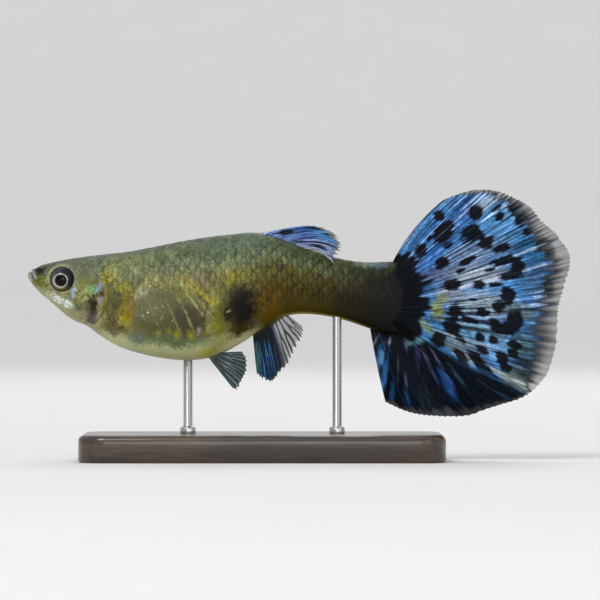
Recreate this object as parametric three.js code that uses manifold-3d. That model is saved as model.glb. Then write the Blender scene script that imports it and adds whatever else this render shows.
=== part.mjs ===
// A fancy guppy, an adult female with a large fan tail, as a life-size museum model on a plain stand.
// Millimetres, +Z up. The head points along -X, the tail along +X, and the fish's left side faces -Y.
// The origin is the middle of the underside of the stand's base.
import * as THREE from "three";
import { mergeVertices } from "three/addons/utils/BufferGeometryUtils.js";
import Module from "manifold-3d";

const wasm = await Module();
wasm.setup();

// Driving sizes. The fish's own frame starts at the tip of the snout, runs back along X,
// and has Z = 0 at the middle of the tail stalk.
const BODY_LENGTH = 42.2; // snout to the end of the scaled stalk
const NOSE_ROUND = 0.7; // length over which the snout rounds off
const STALK_ROUND = 2.2; // length over which the end of the stalk rounds off
const GAP = 0.3; // clearance between neighbouring pieces
const STALK_START = 30.2; // where the trunk ends and the tail stalk begins
const MEMBRANE = 0.5; // thickness of a fin between its rays
const RAY_RISE = 0.24; // how much thicker a fin is on a ray
const TIP_SHARE = 0.6; // thickness at a fin's edge, as a share of that at its root

// The stand. The tail hangs lowest, and the rods are just long enough for it to clear the base.
const BASE = { length: 40, width: 19, height: 3, corner: 3, bevel: 0.4, segments: 4 };
const BASE_CENTRE = 25.8; // of the base, along the fish
const ROD_RADIUS = 0.5;
const ROD_SPREAD = 8.2; // of each rod from the middle of the base
const ROD_SIDES = 16;
const TAIL_DROP = 13.6; // of the tail's lowest point below Z = 0, with half the fin's thickness
const TAIL_CLEARANCE = 1.4; // between the base and the tail above it
const FISH_HEIGHT = BASE.height + TAIL_CLEARANCE + TAIL_DROP;

// A smooth curve through [x, value, value, ...] points, as a function of x that gives those values.
function through(points) {
  const last = points.length - 1;
  const slope = (i, k) => (points[i + 1][k] - points[i][k]) / (points[i + 1][0] - points[i][0]);
  const tangent = (i, k) => {
    if (i === 0) return slope(0, k);
    if (i === last) return slope(last - 1, k);
    const before = points[i][0] - points[i - 1][0];
    const after = points[i + 1][0] - points[i][0];
    return (slope(i - 1, k) * after + slope(i, k) * before) / (before + after);
  };
  const valueAt = (x, k) => {
    const held = THREE.MathUtils.clamp(x, points[0][0], points[last][0]);
    const i = Math.min(last - 1, Math.max(0, points.findIndex((p) => p[0] > held) - 1));
    const from = held >= points[last][0] ? last - 1 : i;
    const step = points[from + 1][0] - points[from][0];
    const u = (held - points[from][0]) / step;
    const start = points[from][k] * (2 * u ** 3 - 3 * u ** 2 + 1);
    const end = points[from + 1][k] * (3 * u ** 2 - 2 * u ** 3);
    const leave = tangent(from, k) * step * (u ** 3 - 2 * u ** 2 + u);
    const arrive = tangent(from + 1, k) * step * (u ** 3 - u ** 2);
    return start + end + leave + arrive;
  };
  const values = points[0].length - 1;
  return values === 1
    ? (x) => valueAt(x, 1)
    : (x) => Array.from({ length: values }, (_, k) => valueAt(x, k + 1));
}

// The body: the line of the back, the line of the belly and the half width, along the fish.
const backLine = through([
  [0, 2.75], [0.66, 3.05], [1.3, 3.4], [2.6, 3.78], [3.7, 4.02], [5.3, 4.3], [8, 4.62], [11, 4.95],
  [13.2, 5.35], [16.7, 6.05], [19.4, 6.5], [22.5, 6.87], [25, 7.05], [27.2, 6.6], [28.8, 6],
  [30.5, 5.4], [32.1, 4.85], [34.3, 4.2], [36.1, 3.9], [37.8, 3.8], [39.3, 3.85], [42.2, 3.85],
]);
const bellyLine = through([
  [0, 1.9], [0.66, 1.2], [1.3, 0.48], [2, -0.1], [3, -0.95], [4.4, -2.15], [5.3, -2.68], [6.4, -3.12],
  [7.9, -4.2], [9.7, -5.3], [11.9, -6.1], [14.1, -6.62], [16.7, -6.93], [19.4, -6.8], [21.1, -6.3],
  [22.9, -5.4], [24.3, -4.55], [25, -4], [26.4, -3.05], [27.7, -2.3], [29.2, -1.93], [30.8, -1.87],
  [32.6, -2.05], [34.3, -2.4], [36.1, -2.95], [37.4, -3.4], [39.3, -4], [42.2, -4.2],
]);
const halfWidth = through([
  [0, 0.8], [0.66, 1.3], [1.3, 1.65], [2.6, 2.15], [4, 2.52], [6, 2.95], [8.5, 3.35], [12, 3.95],
  [16, 4.3], [19.5, 4.15], [23, 3.5], [26, 2.72], [30, 2.05], [34, 1.55], [38, 1.12], [40.5, 0.85],
  [42.2, 0.7],
]);
// Where the section is widest, as a share of its height from the belly, and how square the section
// is above and below that.
const widestShare = through([[0, 0.5], [3.7, 0.56], [8, 0.5], [12, 0.42], [17, 0.4], [22, 0.42], [27, 0.5], [42.2, 0.5]]);
const upperSquare = through([[0, 2.6], [4, 2.6], [10, 2.25], [20, 1.95], [42.2, 2]]);
const lowerSquare = through([[0, 2], [5, 1.9], [10, 1.9], [17, 2.1], [23, 1.9], [27, 1.8], [42.2, 1.9]]);

// 1 along the body, falling to 0 at the tip of the snout and at the end of the stalk as an arc does.
function rounding(x) {
  const inNose = 1 - x / NOSE_ROUND;
  const inStalk = (x - BODY_LENGTH + STALK_ROUND) / STALK_ROUND;
  const past = Math.max(inNose, inStalk, 0);
  return Math.sqrt(Math.max(0, 1 - past * past));
}

// The section across the body at x, grown outwards by grow.
function section(x, grow = 0) {
  const share = rounding(x);
  const middle = THREE.MathUtils.lerp(bellyLine(x), backLine(x), widestShare(x));
  return {
    middle,
    up: (backLine(x) - middle) * share + grow,
    down: (middle - bellyLine(x)) * share + grow,
    side: halfWidth(x) * share + grow,
    upper: upperSquare(x),
    lower: lowerSquare(x),
  };
}

// A point of the body's surface: angle 0 is the fish's right side, a quarter turn its back.
function bodyPoint(x, angle, grow = 0) {
  const cut = section(x, grow);
  const [cos, sin] = [Math.cos(angle), Math.sin(angle)];
  const power = 2 / (sin > 0 ? cut.upper : cut.lower);
  const reach = sin > 0 ? cut.up : cut.down;
  const y = cut.side * Math.sign(cos) * Math.abs(cos) ** power;
  const z = cut.middle + reach * Math.sign(sin) * Math.abs(sin) ** power;
  return new THREE.Vector3(x, y, z);
}

// The body's half width at a height z, 0 above its back and below its belly.
function halfWidthAt(x, z, grow = 0) {
  const cut = section(x, grow);
  const above = z > cut.middle;
  const share = above ? (z - cut.middle) / cut.up : (cut.middle - z) / cut.down;
  const power = above ? cut.upper : cut.lower;
  return share >= 1 ? 0 : cut.side * (1 - share ** power) ** (1 / power);
}

// A closed mesh of shared vertices as a solid.
function solid(geometry) {
  const bare = geometry.clone();
  bare.deleteAttribute("normal");
  bare.deleteAttribute("uv");
  const merged = mergeVertices(bare, 1e-5);
  const corners = Array.from(merged.index.array);
  const kept = [];
  for (let i = 0; i < corners.length; i += 3) {
    const [a, b, c] = corners.slice(i, i + 3);
    if (a !== b && b !== c && c !== a) kept.push(a, b, c);
  }
  return new wasm.Manifold(
    new wasm.Mesh({
      numProp: 3,
      vertProperties: merged.attributes.position.array,
      triVerts: Uint32Array.from(kept),
    }),
  );
}

// The largest closed body of a solid, as a geometry.
function geometryOf(manifold) {
  const bodies = manifold.decompose().sort((a, b) => b.volume() - a.volume());
  const mesh = bodies[0].getMesh();
  return new THREE.BufferGeometry()
    .setAttribute("position", new THREE.BufferAttribute(new Float32Array(mesh.vertProperties), 3))
    .setIndex(new THREE.BufferAttribute(new Uint32Array(mesh.triVerts), 1));
}

// Even steps from one value to another, both ends included.
function steps(from, to, count) {
  return Array.from({ length: count + 1 }, (_, i) => from + ((to - from) * i) / count);
}

// The whole body as a closed loft, grown outwards by grow, or inwards where grow is below 0.
function bodyLoft(grow = 0, ring = 32) {
  const quarter = Math.PI / 2;
  const nose = steps(0, quarter, 5).map((a) => NOSE_ROUND * (1 - Math.cos(a)));
  const head = steps(NOSE_ROUND, 9.2, 15).slice(1);
  const trunk = steps(9.2, BODY_LENGTH - STALK_ROUND, 26).slice(1);
  const end = steps(0, quarter, 5).slice(1).map((a) => BODY_LENGTH - STALK_ROUND * (1 - Math.sin(a)));
  const stations = [...nose, ...head, ...trunk, ...end];
  const positions = [];
  const index = [];
  stations.forEach((x) => {
    const closed = rounding(x) < 1e-6;
    for (let j = 0; j < ring; j += 1) {
      const around = bodyPoint(x, (2 * Math.PI * j) / ring, closed ? 0 : grow);
      positions.push(around.x, around.y, around.z);
    }
  });
  for (let i = 0; i < stations.length - 1; i += 1) {
    for (let j = 0; j < ring; j += 1) {
      const next = (j + 1) % ring;
      const [a, b] = [i * ring + j, i * ring + next];
      const [c, d] = [(i + 1) * ring + next, (i + 1) * ring + j];
      index.push(a, b, c, a, c, d);
    }
  }
  const geometry = new THREE.BufferGeometry();
  geometry.setAttribute("position", new THREE.Float32BufferAttribute(positions, 3));
  geometry.setIndex(index);
  return solid(geometry);
}

// A wall across the fish with the given outline, [x, z] points in its side view.
function prism(outline, from = -8, to = 8) {
  const shape = new THREE.Shape(outline.map(([x, z]) => new THREE.Vector2(x, z)));
  const made = new THREE.ExtrudeGeometry(shape, { depth: to - from, bevelEnabled: false });
  made.rotateX(Math.PI / 2);
  made.translate(0, to, 0);
  return solid(made);
}

// An ellipsoid, turned about Y by tilt.
function ellipsoid([x, y, z], [a, b, c], tilt = 0, around = 18, along = 10) {
  const made = new THREE.SphereGeometry(1, around, along);
  made.rotateX(Math.PI / 2);
  made.scale(a, b, c);
  made.rotateY(tilt);
  made.translate(x, y, z);
  return solid(made);
}

// The hind edge of the head and gill cover, from the nape down to the throat, as x over z.
const GILL_EDGE = through([[-4.2, 5.6], [-3.1, 7], [-1.8, 8.25], [-0.4, 8.9], [0.9, 8.95], [2.2, 8.5], [4, 8.05], [6.5, 8]]);
const gillEdge = (shift) => steps(6.4, -4.2, 16).map((z) => [GILL_EDGE(z) + shift, z]);
const FAR = 60;

// The gill cover is a plate let into the side of the head, with its hind edge on that of the head.
const COVER_THICKNESS = 0.7;
const COVER_FRONT = [[9.6, 2.5], [7.4, 2.75], [5.9, 2.25], [5.35, 0.9], [5.2, -0.7], [5.5, -1.95], [6.2, -2.75], [9.6, -2.75]];
const coverOutline = (grow) => {
  const curve = new THREE.CatmullRomCurve3(COVER_FRONT.map(([x, z]) => new THREE.Vector3(x, 0, z)));
  const middle = -0.1;
  return curve.getPoints(16).map((p) => [p.x - grow, p.z + grow * Math.sign(p.z - middle)]);
};

const EYE = { x: 3.86, y: 1.78, z: 1.93, radius: 1.34, depth: 0.95 };
const MOUTH = { x: 0.42, z: 2.32, length: 1.5, opening: 0.2, tilt: 0.72 };
const LIP = { upper: [0.72, 0, 2.66], lower: [0.5, 0, 2.06], size: [0.52, 1.02, 0.28] };
const NOSTRIL = { x: 1.95, z: 3.2, radius: 0.24 };

// Head, with lips either side of the mouth's line, nostrils, eye sockets and room for the gill covers.
function headSolid(body) {
  const front = prism([[-2, 7], ...gillEdge(0), [-2, -4.2]]);
  const lips = [LIP.upper, LIP.lower].map((at) => ellipsoid(at, LIP.size, MOUTH.tilt, 16, 10));
  const slit = new THREE.BoxGeometry(MOUTH.length, 4, MOUTH.opening);
  slit.rotateY(MOUTH.tilt);
  slit.translate(MOUTH.x - MOUTH.length * 0.28, 0, MOUTH.z + MOUTH.length * 0.24);
  const inside = bodyLoft(-COVER_THICKNESS - GAP);
  const recess = prism(coverOutline(GAP)).subtract(inside);
  let head = body.intersect(front).add(lips[0]).add(lips[1]).subtract(solid(slit)).subtract(recess);
  for (const side of [-1, 1]) {
    const socket = [EYE.radius + GAP, EYE.depth + GAP, EYE.radius + GAP];
    const nostrilSide = side * halfWidthAt(NOSTRIL.x, NOSTRIL.z);
    head = head.subtract(ellipsoid([EYE.x, side * EYE.y, EYE.z], socket));
    const pit = [NOSTRIL.x, nostrilSide, NOSTRIL.z];
    head = head.subtract(ellipsoid(pit, [NOSTRIL.radius, NOSTRIL.radius, NOSTRIL.radius], 0, 10, 6));
  }
  return head;
}

function gillCover(body, side) {
  const shell = body.subtract(bodyLoft(-COVER_THICKNESS));
  const front = prism([[-2, 7], ...gillEdge(0), [-2, -4.2]]);
  const half = side < 0 ? [-8, -0.6] : [0.6, 8];
  return shell.intersect(front).intersect(prism(coverOutline(0), ...half));
}

function trunkSolid(body) {
  const end = STALK_START - GAP / 2;
  return body.intersect(prism([...gillEdge(GAP), [5.9, -9], [end, -9], [end, 9], [8.3, 9]]));
}

function stalkSolid(body) {
  const start = STALK_START + GAP / 2;
  return body.intersect(prism([[start, -9], [FAR, -9], [FAR, 9], [start, 9]]));
}

// 0 before one value and 1 past another, with a smooth rise between.
const smooth = THREE.MathUtils.smoothstep;

// A fin as one closed sheet. at(s, t) gives its middle surface: s runs out along a ray from the root,
// and t goes from the first ray to the last. Each ray is a ridge on both faces, which forks in two.
// Both faces are split into triangles alike.
function finGeometry({ rays, rows, at, forks = true, thickness = MEMBRANE }) {
  const perRay = forks ? 4 : 2;
  const columns = rays * perRay;
  const positions = [];
  const face = [[], []];
  for (let i = 0; i <= rows; i += 1) {
    const s = i / rows;
    const taper = THREE.MathUtils.lerp(1, TIP_SHARE, smooth(s, 0.3, 1));
    const split = forks ? smooth(s, 0.3, 0.75) : 0;
    for (let j = 0; j <= columns; j += 1) {
      const t = j / columns;
      const place = j % perRay;
      const onRay = place === perRay / 2 ? 1 - 0.85 * split : 0.35 + 0.65 * split;
      const ridge = place === 0 ? 0 : onRay;
      const half = (taper * (thickness + RAY_RISE * ridge)) / 2;
      const across = at(s, Math.min(1, t + 1e-3)).sub(at(s, Math.max(0, t - 1e-3)));
      const along = at(Math.min(1, s + 1e-3), t).sub(at(Math.max(0, s - 1e-3), t));
      const normal = along.cross(across).normalize();
      [-1, 1].forEach((side, k) => {
        const p = at(s, t).addScaledVector(normal, side * half);
        face[k].push(positions.length / 3);
        positions.push(p.x, p.y, p.z);
      });
    }
  }
  const index = [];
  const wide = columns + 1;
  const quad = (a, b, c, d) => index.push(a, b, c, a, c, d);
  for (let i = 0; i < rows; i += 1) {
    for (let j = 0; j < columns; j += 1) {
      const [a, b, c, d] = [i * wide + j, (i + 1) * wide + j, (i + 1) * wide + j + 1, i * wide + j + 1];
      quad(face[0][a], face[0][b], face[0][c], face[0][d]);
      index.push(face[1][a], face[1][c], face[1][b], face[1][a], face[1][d], face[1][c]);
    }
  }
  const rim = [];
  for (let j = 0; j < columns; j += 1) rim.push(j);
  for (let i = 0; i < rows; i += 1) rim.push(i * wide + columns);
  for (let j = columns; j > 0; j -= 1) rim.push(rows * wide + j);
  for (let i = rows; i > 0; i -= 1) rim.push(i * wide);
  rim.forEach((a, k) => {
    const b = rim[(k + 1) % rim.length];
    quad(face[0][a], face[0][b], face[1][b], face[1][a]);
  });
  const geometry = new THREE.BufferGeometry();
  geometry.setAttribute("position", new THREE.Float32BufferAttribute(positions, 3));
  geometry.setIndex(index);
  const made = solid(geometry);
  if (made.volume() > 0) return geometry;
  for (let i = 0; i < index.length; i += 3) [index[i + 1], index[i + 2]] = [index[i + 2], index[i + 1]];
  geometry.setIndex(index);
  return geometry;
}

// A straight ray from root to tip in the side view, with a little bow to one side.
function rayPoint([rootX, rootZ], [tipX, tipZ], s, bow = 0) {
  const x = THREE.MathUtils.lerp(rootX, tipX, s) - bow * s * (1 - s) * (tipZ - rootZ);
  const z = THREE.MathUtils.lerp(rootZ, tipZ, s) + bow * s * (1 - s) * (tipX - rootX);
  return [x, z];
}

// Tail fin: its root wraps the rounded end of the stalk, and its rays fan over more than a quarter
// turn each way. The lower lobe is folded away from the fish's left side.
const TAIL_EDGE = through([
  [0, 45.9, 10.8], [0.08, 47.7, 11.5], [0.16, 49.9, 11.9], [0.24, 52.4, 11.6], [0.31, 54.8, 10.4],
  [0.38, 56.9, 8.4], [0.45, 58.7, 6.3], [0.5, 59.8, 4.4], [0.56, 59.4, 1.3], [0.62, 58.6, -2],
  [0.67, 58.1, -5.3], [0.72, 56.9, -8.7], [0.76, 54.8, -10.9], [0.81, 51.4, -12.1], [0.86, 48.2, -13.2],
  [0.91, 45.1, -13.3], [0.96, 42.1, -12.9], [1, 39.4, -11.7],
]);
const TAIL_FOLD = through([
  [0, 1.2], [0.1, 0.4], [0.24, -0.9], [0.4, -0.3], [0.54, 0.7], [0.64, 0.2], [0.74, -1.7],
  [0.82, 0.9], [0.88, 2.1], [0.94, 1.3], [1, 2.5],
]);
const TAIL_ROOT = { upper: 39.4, lower: 37.4, topShare: 0.1, bottomShare: 0.84 };
function tailRoot(t) {
  const bend = BODY_LENGTH - STALK_ROUND;
  if (t < TAIL_ROOT.topShare) {
    const x = THREE.MathUtils.lerp(TAIL_ROOT.upper, bend, t / TAIL_ROOT.topShare);
    return [x, backLine(x) + GAP];
  }
  if (t > TAIL_ROOT.bottomShare) {
    const back = (t - TAIL_ROOT.bottomShare) / (1 - TAIL_ROOT.bottomShare);
    const x = THREE.MathUtils.lerp(bend, TAIL_ROOT.lower, back);
    return [x, bellyLine(x) - GAP];
  }
  const share = (t - TAIL_ROOT.topShare) / (TAIL_ROOT.bottomShare - TAIL_ROOT.topShare);
  const angle = Math.PI * (0.5 - share);
  const { middle } = section(bend);
  const reach = Math.sin(angle) > 0 ? backLine(bend) + GAP - middle : middle + GAP - bellyLine(bend);
  return [bend + (STALK_ROUND + GAP) * Math.cos(angle), middle + reach * Math.sin(angle)];
}
function tailFin(s, t) {
  const bow = THREE.MathUtils.lerp(0.25, -0.05, smooth(t, 0, 0.3));
  const [x, z] = rayPoint(tailRoot(t), TAIL_EDGE(t), s, bow);
  return new THREE.Vector3(x, TAIL_FOLD(t) * s ** 1.5, z);
}

// Dorsal fin: short at its root, swept back, with its last rays drooping over the fish's left side.
const DORSAL = { front: 25.4, back: 29.7 };
const DORSAL_EDGE = through([
  [0, 30.5, 7.85], [0.15, 32.4, 7.8], [0.35, 33.8, 7.1], [0.55, 34.8, 6], [0.75, 34.9, 4.9], [1, 33.8, 3.3],
]);
function dorsalFin(s, t) {
  const rootX = THREE.MathUtils.lerp(DORSAL.front, DORSAL.back, t);
  const [x, z] = rayPoint([rootX, backLine(rootX) + GAP], DORSAL_EDGE(t), s, 0.1 + 0.5 * t);
  const lean = -0.9 * s * t;
  const clear = halfWidthAt(x, z, GAP + MEMBRANE * 0.9);
  return new THREE.Vector3(x, Math.min(lean, -clear * smooth(s, 0, 0.3)), z);
}

// Anal fin: its root climbs from the vent to the stalk, and its rays fan down and back.
const ANAL = { front: 24.7, back: 28.4 };
const ANAL_EDGE = through([
  [0, 25.2, -8.7], [0.12, 25.8, -9.4], [0.27, 26.6, -9.6], [0.42, 27.5, -8.9], [0.56, 28.6, -7.7],
  [0.72, 29.4, -6.2], [0.86, 30.2, -4.7], [1, 30.4, -3.4],
]);
function analFin(s, t) {
  const rootX = THREE.MathUtils.lerp(ANAL.front, ANAL.back, t);
  const [x, z] = rayPoint([rootX, bellyLine(rootX) - GAP], ANAL_EDGE(t), s);
  return new THREE.Vector3(x, 0.45 * s * Math.sin(5 * t), z);
}

// Pelvic fins: a pair under the belly, swept back and a little apart.
const PELVIC = { front: 19.7, back: 20.8, rootSide: 0.7, tipSide: 1.9 };
const PELVIC_EDGE = through([
  [0, 22.7, -10.2], [0.25, 23.3, -10.3], [0.45, 23.6, -9.2], [0.65, 24.2, -7.9], [0.85, 24.1, -6.7], [1, 23.7, -6],
]);
function pelvicFin(side) {
  return (s, t) => {
    const rootX = THREE.MathUtils.lerp(PELVIC.front, PELVIC.back, t);
    const [x, z] = rayPoint([rootX, bellyLine(rootX) - GAP], PELVIC_EDGE(t), s);
    return new THREE.Vector3(x, side * THREE.MathUtils.lerp(PELVIC.rootSide, PELVIC.tipSide, s), z);
  };
}

// Pectoral fins: rooted low behind the gill covers and held back along the flanks.
const PECTORAL = { x: 9.9, top: 0.7, bottom: -0.9, flare: 0.9 };
const PECTORAL_EDGE = through([
  [0, 15.9, 0.9], [0.25, 16.8, 0], [0.5, 16.7, -1.3], [0.75, 15.6, -2.6], [1, 13.6, -3.1],
]);
function pectoralFin(side) {
  return (s, t) => {
    const root = [PECTORAL.x, THREE.MathUtils.lerp(PECTORAL.top, PECTORAL.bottom, t)];
    const [x, z] = rayPoint(root, PECTORAL_EDGE(t), s);
    const clear = halfWidthAt(x, z, GAP + MEMBRANE * 0.8) + PECTORAL.flare * s * s;
    return new THREE.Vector3(x, side * clear, z);
  };
}

// The base is a slab with rounded corners and a small bevel, standing on Z = 0.
function baseGeometry() {
  const [halfLength, halfDepth] = [BASE.length / 2 - BASE.bevel, BASE.width / 2 - BASE.bevel];
  const shape = new THREE.Shape();
  const corners = [[1, -1, -Math.PI / 2], [1, 1, 0], [-1, 1, Math.PI / 2], [-1, -1, Math.PI]];
  corners.forEach(([sideX, sideY, start]) => {
    const x = sideX * (halfLength - BASE.corner);
    const y = sideY * (halfDepth - BASE.corner);
    shape.absarc(x, y, BASE.corner, start, start + Math.PI / 2, false);
  });
  const made = new THREE.ExtrudeGeometry(shape, {
    depth: BASE.height - 2 * BASE.bevel,
    bevelThickness: BASE.bevel,
    bevelSize: BASE.bevel,
    bevelSegments: 1,
    curveSegments: BASE.segments,
  });
  made.translate(0, 0, BASE.bevel);
  return made;
}

// A rod from the base up to the fish, at x along it.
function rodGeometry(x) {
  const [from, to] = [BASE.height + GAP, FISH_HEIGHT + bellyLine(x) - GAP];
  const made = new THREE.CylinderGeometry(ROD_RADIUS, ROD_RADIUS, to - from, ROD_SIDES);
  made.rotateX(Math.PI / 2);
  made.translate(x - BASE_CENTRE, 0, (from + to) / 2);
  return made;
}

const material = (color, roughness, metalness = 0) =>
  new THREE.MeshStandardMaterial({ color, roughness, metalness });
const skin = material(0x8b8c5a, 0.4);
const eyeball = material(0x39414a, 0.15);
const blueFin = material(0x3f7fc4, 0.35);
const clearFin = material(0x9fb0b4, 0.35);
const lacquer = material(0x1c1b1a, 0.4);
const steel = material(0xb8babd, 0.3, 1);

function node(name, geometry, look) {
  const mesh = new THREE.Mesh(geometry, look);
  mesh.name = name;
  return mesh;
}

const body = bodyLoft();
const fish = new THREE.Group();
fish.position.set(-BASE_CENTRE, 0, FISH_HEIGHT);
fish.add(node("head", geometryOf(headSolid(body)), skin));
fish.add(node("trunk", geometryOf(trunkSolid(body)), skin));
fish.add(node("tail_stalk", geometryOf(stalkSolid(body)), skin));
fish.add(node("tail_fin", finGeometry({ rays: 22, rows: 10, at: tailFin }), blueFin));
fish.add(node("dorsal_fin", finGeometry({ rays: 8, rows: 8, at: dorsalFin }), blueFin));
fish.add(node("anal_fin", finGeometry({ rays: 9, rows: 7, at: analFin }), blueFin));
for (const [name, side] of [["left", -1], ["right", 1]]) {
  const pelvic = { rays: 6, rows: 6, at: pelvicFin(side), forks: false };
  const pectoral = { rays: 11, rows: 7, at: pectoralFin(side), forks: false };
  const eye = ellipsoid([EYE.x, side * EYE.y, EYE.z], [EYE.radius, EYE.depth, EYE.radius], 0, 20, 12);
  fish.add(node(`gill_cover_${name}`, geometryOf(gillCover(body, side)), skin));
  fish.add(node(`eye_${name}`, geometryOf(eye), eyeball));
  fish.add(node(`pelvic_fin_${name}`, finGeometry(pelvic), clearFin));
  fish.add(node(`pectoral_fin_${name}`, finGeometry(pectoral), clearFin));
}

const model = new THREE.Group();
model.add(fish);
model.add(node("stand_base", baseGeometry(), lacquer));
model.add(node("stand_rod_front", rodGeometry(BASE_CENTRE - ROD_SPREAD), steel));
model.add(node("stand_rod_back", rodGeometry(BASE_CENTRE + ROD_SPREAD), steel));

export default model;
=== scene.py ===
"""A fancy guppy, an adult female with a large spotted fan tail, as a life-size model on a small stand.

The shapes are worked out in millimetres in the fish's own frame: X runs back from the tip of the
snout, Z is up from the middle of the tail stalk, and Y = 0 is the plane of symmetry. They are then
set into the row's frame, in metres. Marks are placed by where they lie in the side view.
"""

import math
from itertools import product

import bpy
import numpy as np
from mathutils import Euler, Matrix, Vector


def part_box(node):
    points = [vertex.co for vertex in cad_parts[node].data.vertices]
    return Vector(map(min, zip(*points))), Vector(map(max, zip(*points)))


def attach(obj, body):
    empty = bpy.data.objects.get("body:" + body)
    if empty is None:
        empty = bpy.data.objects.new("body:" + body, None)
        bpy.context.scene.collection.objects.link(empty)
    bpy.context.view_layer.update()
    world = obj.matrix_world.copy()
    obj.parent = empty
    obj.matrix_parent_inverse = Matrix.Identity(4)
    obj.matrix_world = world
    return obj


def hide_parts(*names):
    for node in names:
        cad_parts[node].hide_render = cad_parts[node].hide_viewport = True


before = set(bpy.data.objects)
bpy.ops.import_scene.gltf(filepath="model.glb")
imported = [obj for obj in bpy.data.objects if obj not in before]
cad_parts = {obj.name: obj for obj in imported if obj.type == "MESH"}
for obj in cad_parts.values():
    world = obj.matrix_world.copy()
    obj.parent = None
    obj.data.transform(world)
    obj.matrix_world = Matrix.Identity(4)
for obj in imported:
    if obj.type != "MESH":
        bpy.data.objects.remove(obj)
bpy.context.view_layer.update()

MM = 0.001
PIXEL = 0.11  # millimetres of the fish to one pixel of the photograph
SNOUT_PIXEL = (28.0, 297.0)  # where the fish's own origin is in the photograph

BODY_LENGTH = 42.2
NOSE_ROUND = 0.7
STALK_ROUND = 2.2


def through(points):
    """A smooth curve through [x, value, ...] points, as a function of an array of x."""
    table = np.array(points, float)
    x, values = table[:, 0], table[:, 1:]
    step = np.diff(x)[:, None]
    slope = np.diff(values, axis=0) / step
    before, after = step[:-1], step[1:]
    inner = (slope[:-1] * after + slope[1:] * before) / (before + after)
    tangent = np.vstack([slope[:1], inner, slope[-1:]])

    def at(where):
        held = np.clip(np.asarray(where, float), x[0], x[-1])
        i = np.clip(np.searchsorted(x, held, side="right") - 1, 0, len(x) - 2)
        length = (x[i + 1] - x[i])[..., None]
        u = (held - x[i])[..., None] / length
        found = values[i] * (2 * u**3 - 3 * u**2 + 1) + values[i + 1] * (3 * u**2 - 2 * u**3)
        found = found + tangent[i] * length * (u**3 - 2 * u**2 + u)
        found = found + tangent[i + 1] * length * (u**3 - u**2)
        return found[..., 0] if values.shape[1] == 1 else found

    return at


# The body: the line of the back, the line of the belly and the half width, along the fish.
BACK = through([
    [0, 2.75], [0.66, 3.05], [1.3, 3.4], [2.6, 3.78], [3.7, 4.02], [5.3, 4.3], [8, 4.62], [11, 4.95],
    [13.2, 5.35], [16.7, 6.05], [19.4, 6.5], [22.5, 6.87], [25, 7.05], [27.2, 6.6], [28.8, 6],
    [30.5, 5.4], [32.1, 4.85], [34.3, 4.2], [36.1, 3.9], [37.8, 3.8], [39.3, 3.85], [42.2, 3.85],
])
BELLY = through([
    [0, 1.9], [0.66, 1.2], [1.3, 0.48], [2, -0.1], [3, -0.95], [4.4, -2.15], [5.3, -2.68],
    [6.4, -3.12], [7.9, -4.2], [9.7, -5.3], [11.9, -6.1], [14.1, -6.62], [16.7, -6.93],
    [19.4, -6.8], [21.1, -6.3], [22.9, -5.4], [24.3, -4.55], [25, -4], [26.4, -3.05],
    [27.7, -2.3], [29.2, -1.93], [30.8, -1.87], [32.6, -2.05], [34.3, -2.4], [36.1, -2.95],
    [37.4, -3.4], [39.3, -4], [42.2, -4.2],
])
HALF_WIDTH = through([
    [0, 0.8], [0.66, 1.3], [1.3, 1.65], [2.6, 2.15], [4, 2.52], [6, 2.95], [8.5, 3.35],
    [12, 3.95], [16, 4.3], [19.5, 4.15], [23, 3.5], [26, 2.72], [30, 2.05], [34, 1.55],
    [38, 1.12], [40.5, 0.85], [42.2, 0.7],
])
WIDEST_SHARE = through([
    [0, 0.5], [3.7, 0.56], [8, 0.5], [12, 0.42], [17, 0.4], [22, 0.42], [27, 0.5], [42.2, 0.5],
])
UPPER_SQUARE = through([[0, 2.6], [4, 2.6], [10, 2.25], [20, 1.95], [42.2, 2]])
LOWER_SQUARE = through([[0, 2], [5, 1.9], [10, 1.9], [17, 2.1], [23, 1.9], [27, 1.8], [42.2, 1.9]])
GILL_EDGE = through([
    [-4.2, 5.6], [-3.1, 7], [-1.8, 8.25], [-0.4, 8.9], [0.9, 8.95], [2.2, 8.5], [4, 8.05], [6.5, 8],
])

BELLY_LOWEST = float(BELLY(np.linspace(0, BODY_LENGTH, 400)).min())
ORIGIN = Vector((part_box("head")[0].x, 0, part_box("trunk")[0].z - BELLY_LOWEST * MM))


def from_row(points):
    """Points of the row's frame, in metres, as points of the fish's own frame."""
    return (np.array(points) - np.array(ORIGIN)) / MM


def smooth(x, low, high):
    """0 below low and 1 above high, with a smooth rise between, or a fall where low is above high."""
    share = np.clip((np.asarray(x, float) - low) / (high - low), 0, 1)
    return share * share * (3 - 2 * share)


def bell(x, width):
    return np.exp(-((np.asarray(x) / width) ** 2))


def lerp(a, b, share):
    return a + (b - a) * share


CELL_FACTORS = (73856093, 19349663, 83492791)
SEED_FACTOR = 2654435761
MIXING = ((15, 2246822519), (13, 3266489917))
LOW_BITS = np.uint64(0xFFFFFFFF)


def hashed(cell, seed):
    """A number from 0 to 1 for each row of whole numbers, always the same for the same row."""
    mixed = np.zeros(cell.shape[:-1], np.uint64)
    for k, factor in zip(range(cell.shape[-1]), CELL_FACTORS):
        mixed = mixed ^ (cell[..., k].astype(np.uint64) * np.uint64(factor))
    mixed = (mixed + np.uint64(seed * SEED_FACTOR)) & LOW_BITS
    for shift, factor in MIXING:
        mixed = ((mixed ^ (mixed >> np.uint64(shift))) * np.uint64(factor)) & LOW_BITS
    return (mixed ^ (mixed >> np.uint64(16))).astype(float) / float(LOW_BITS)


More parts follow.
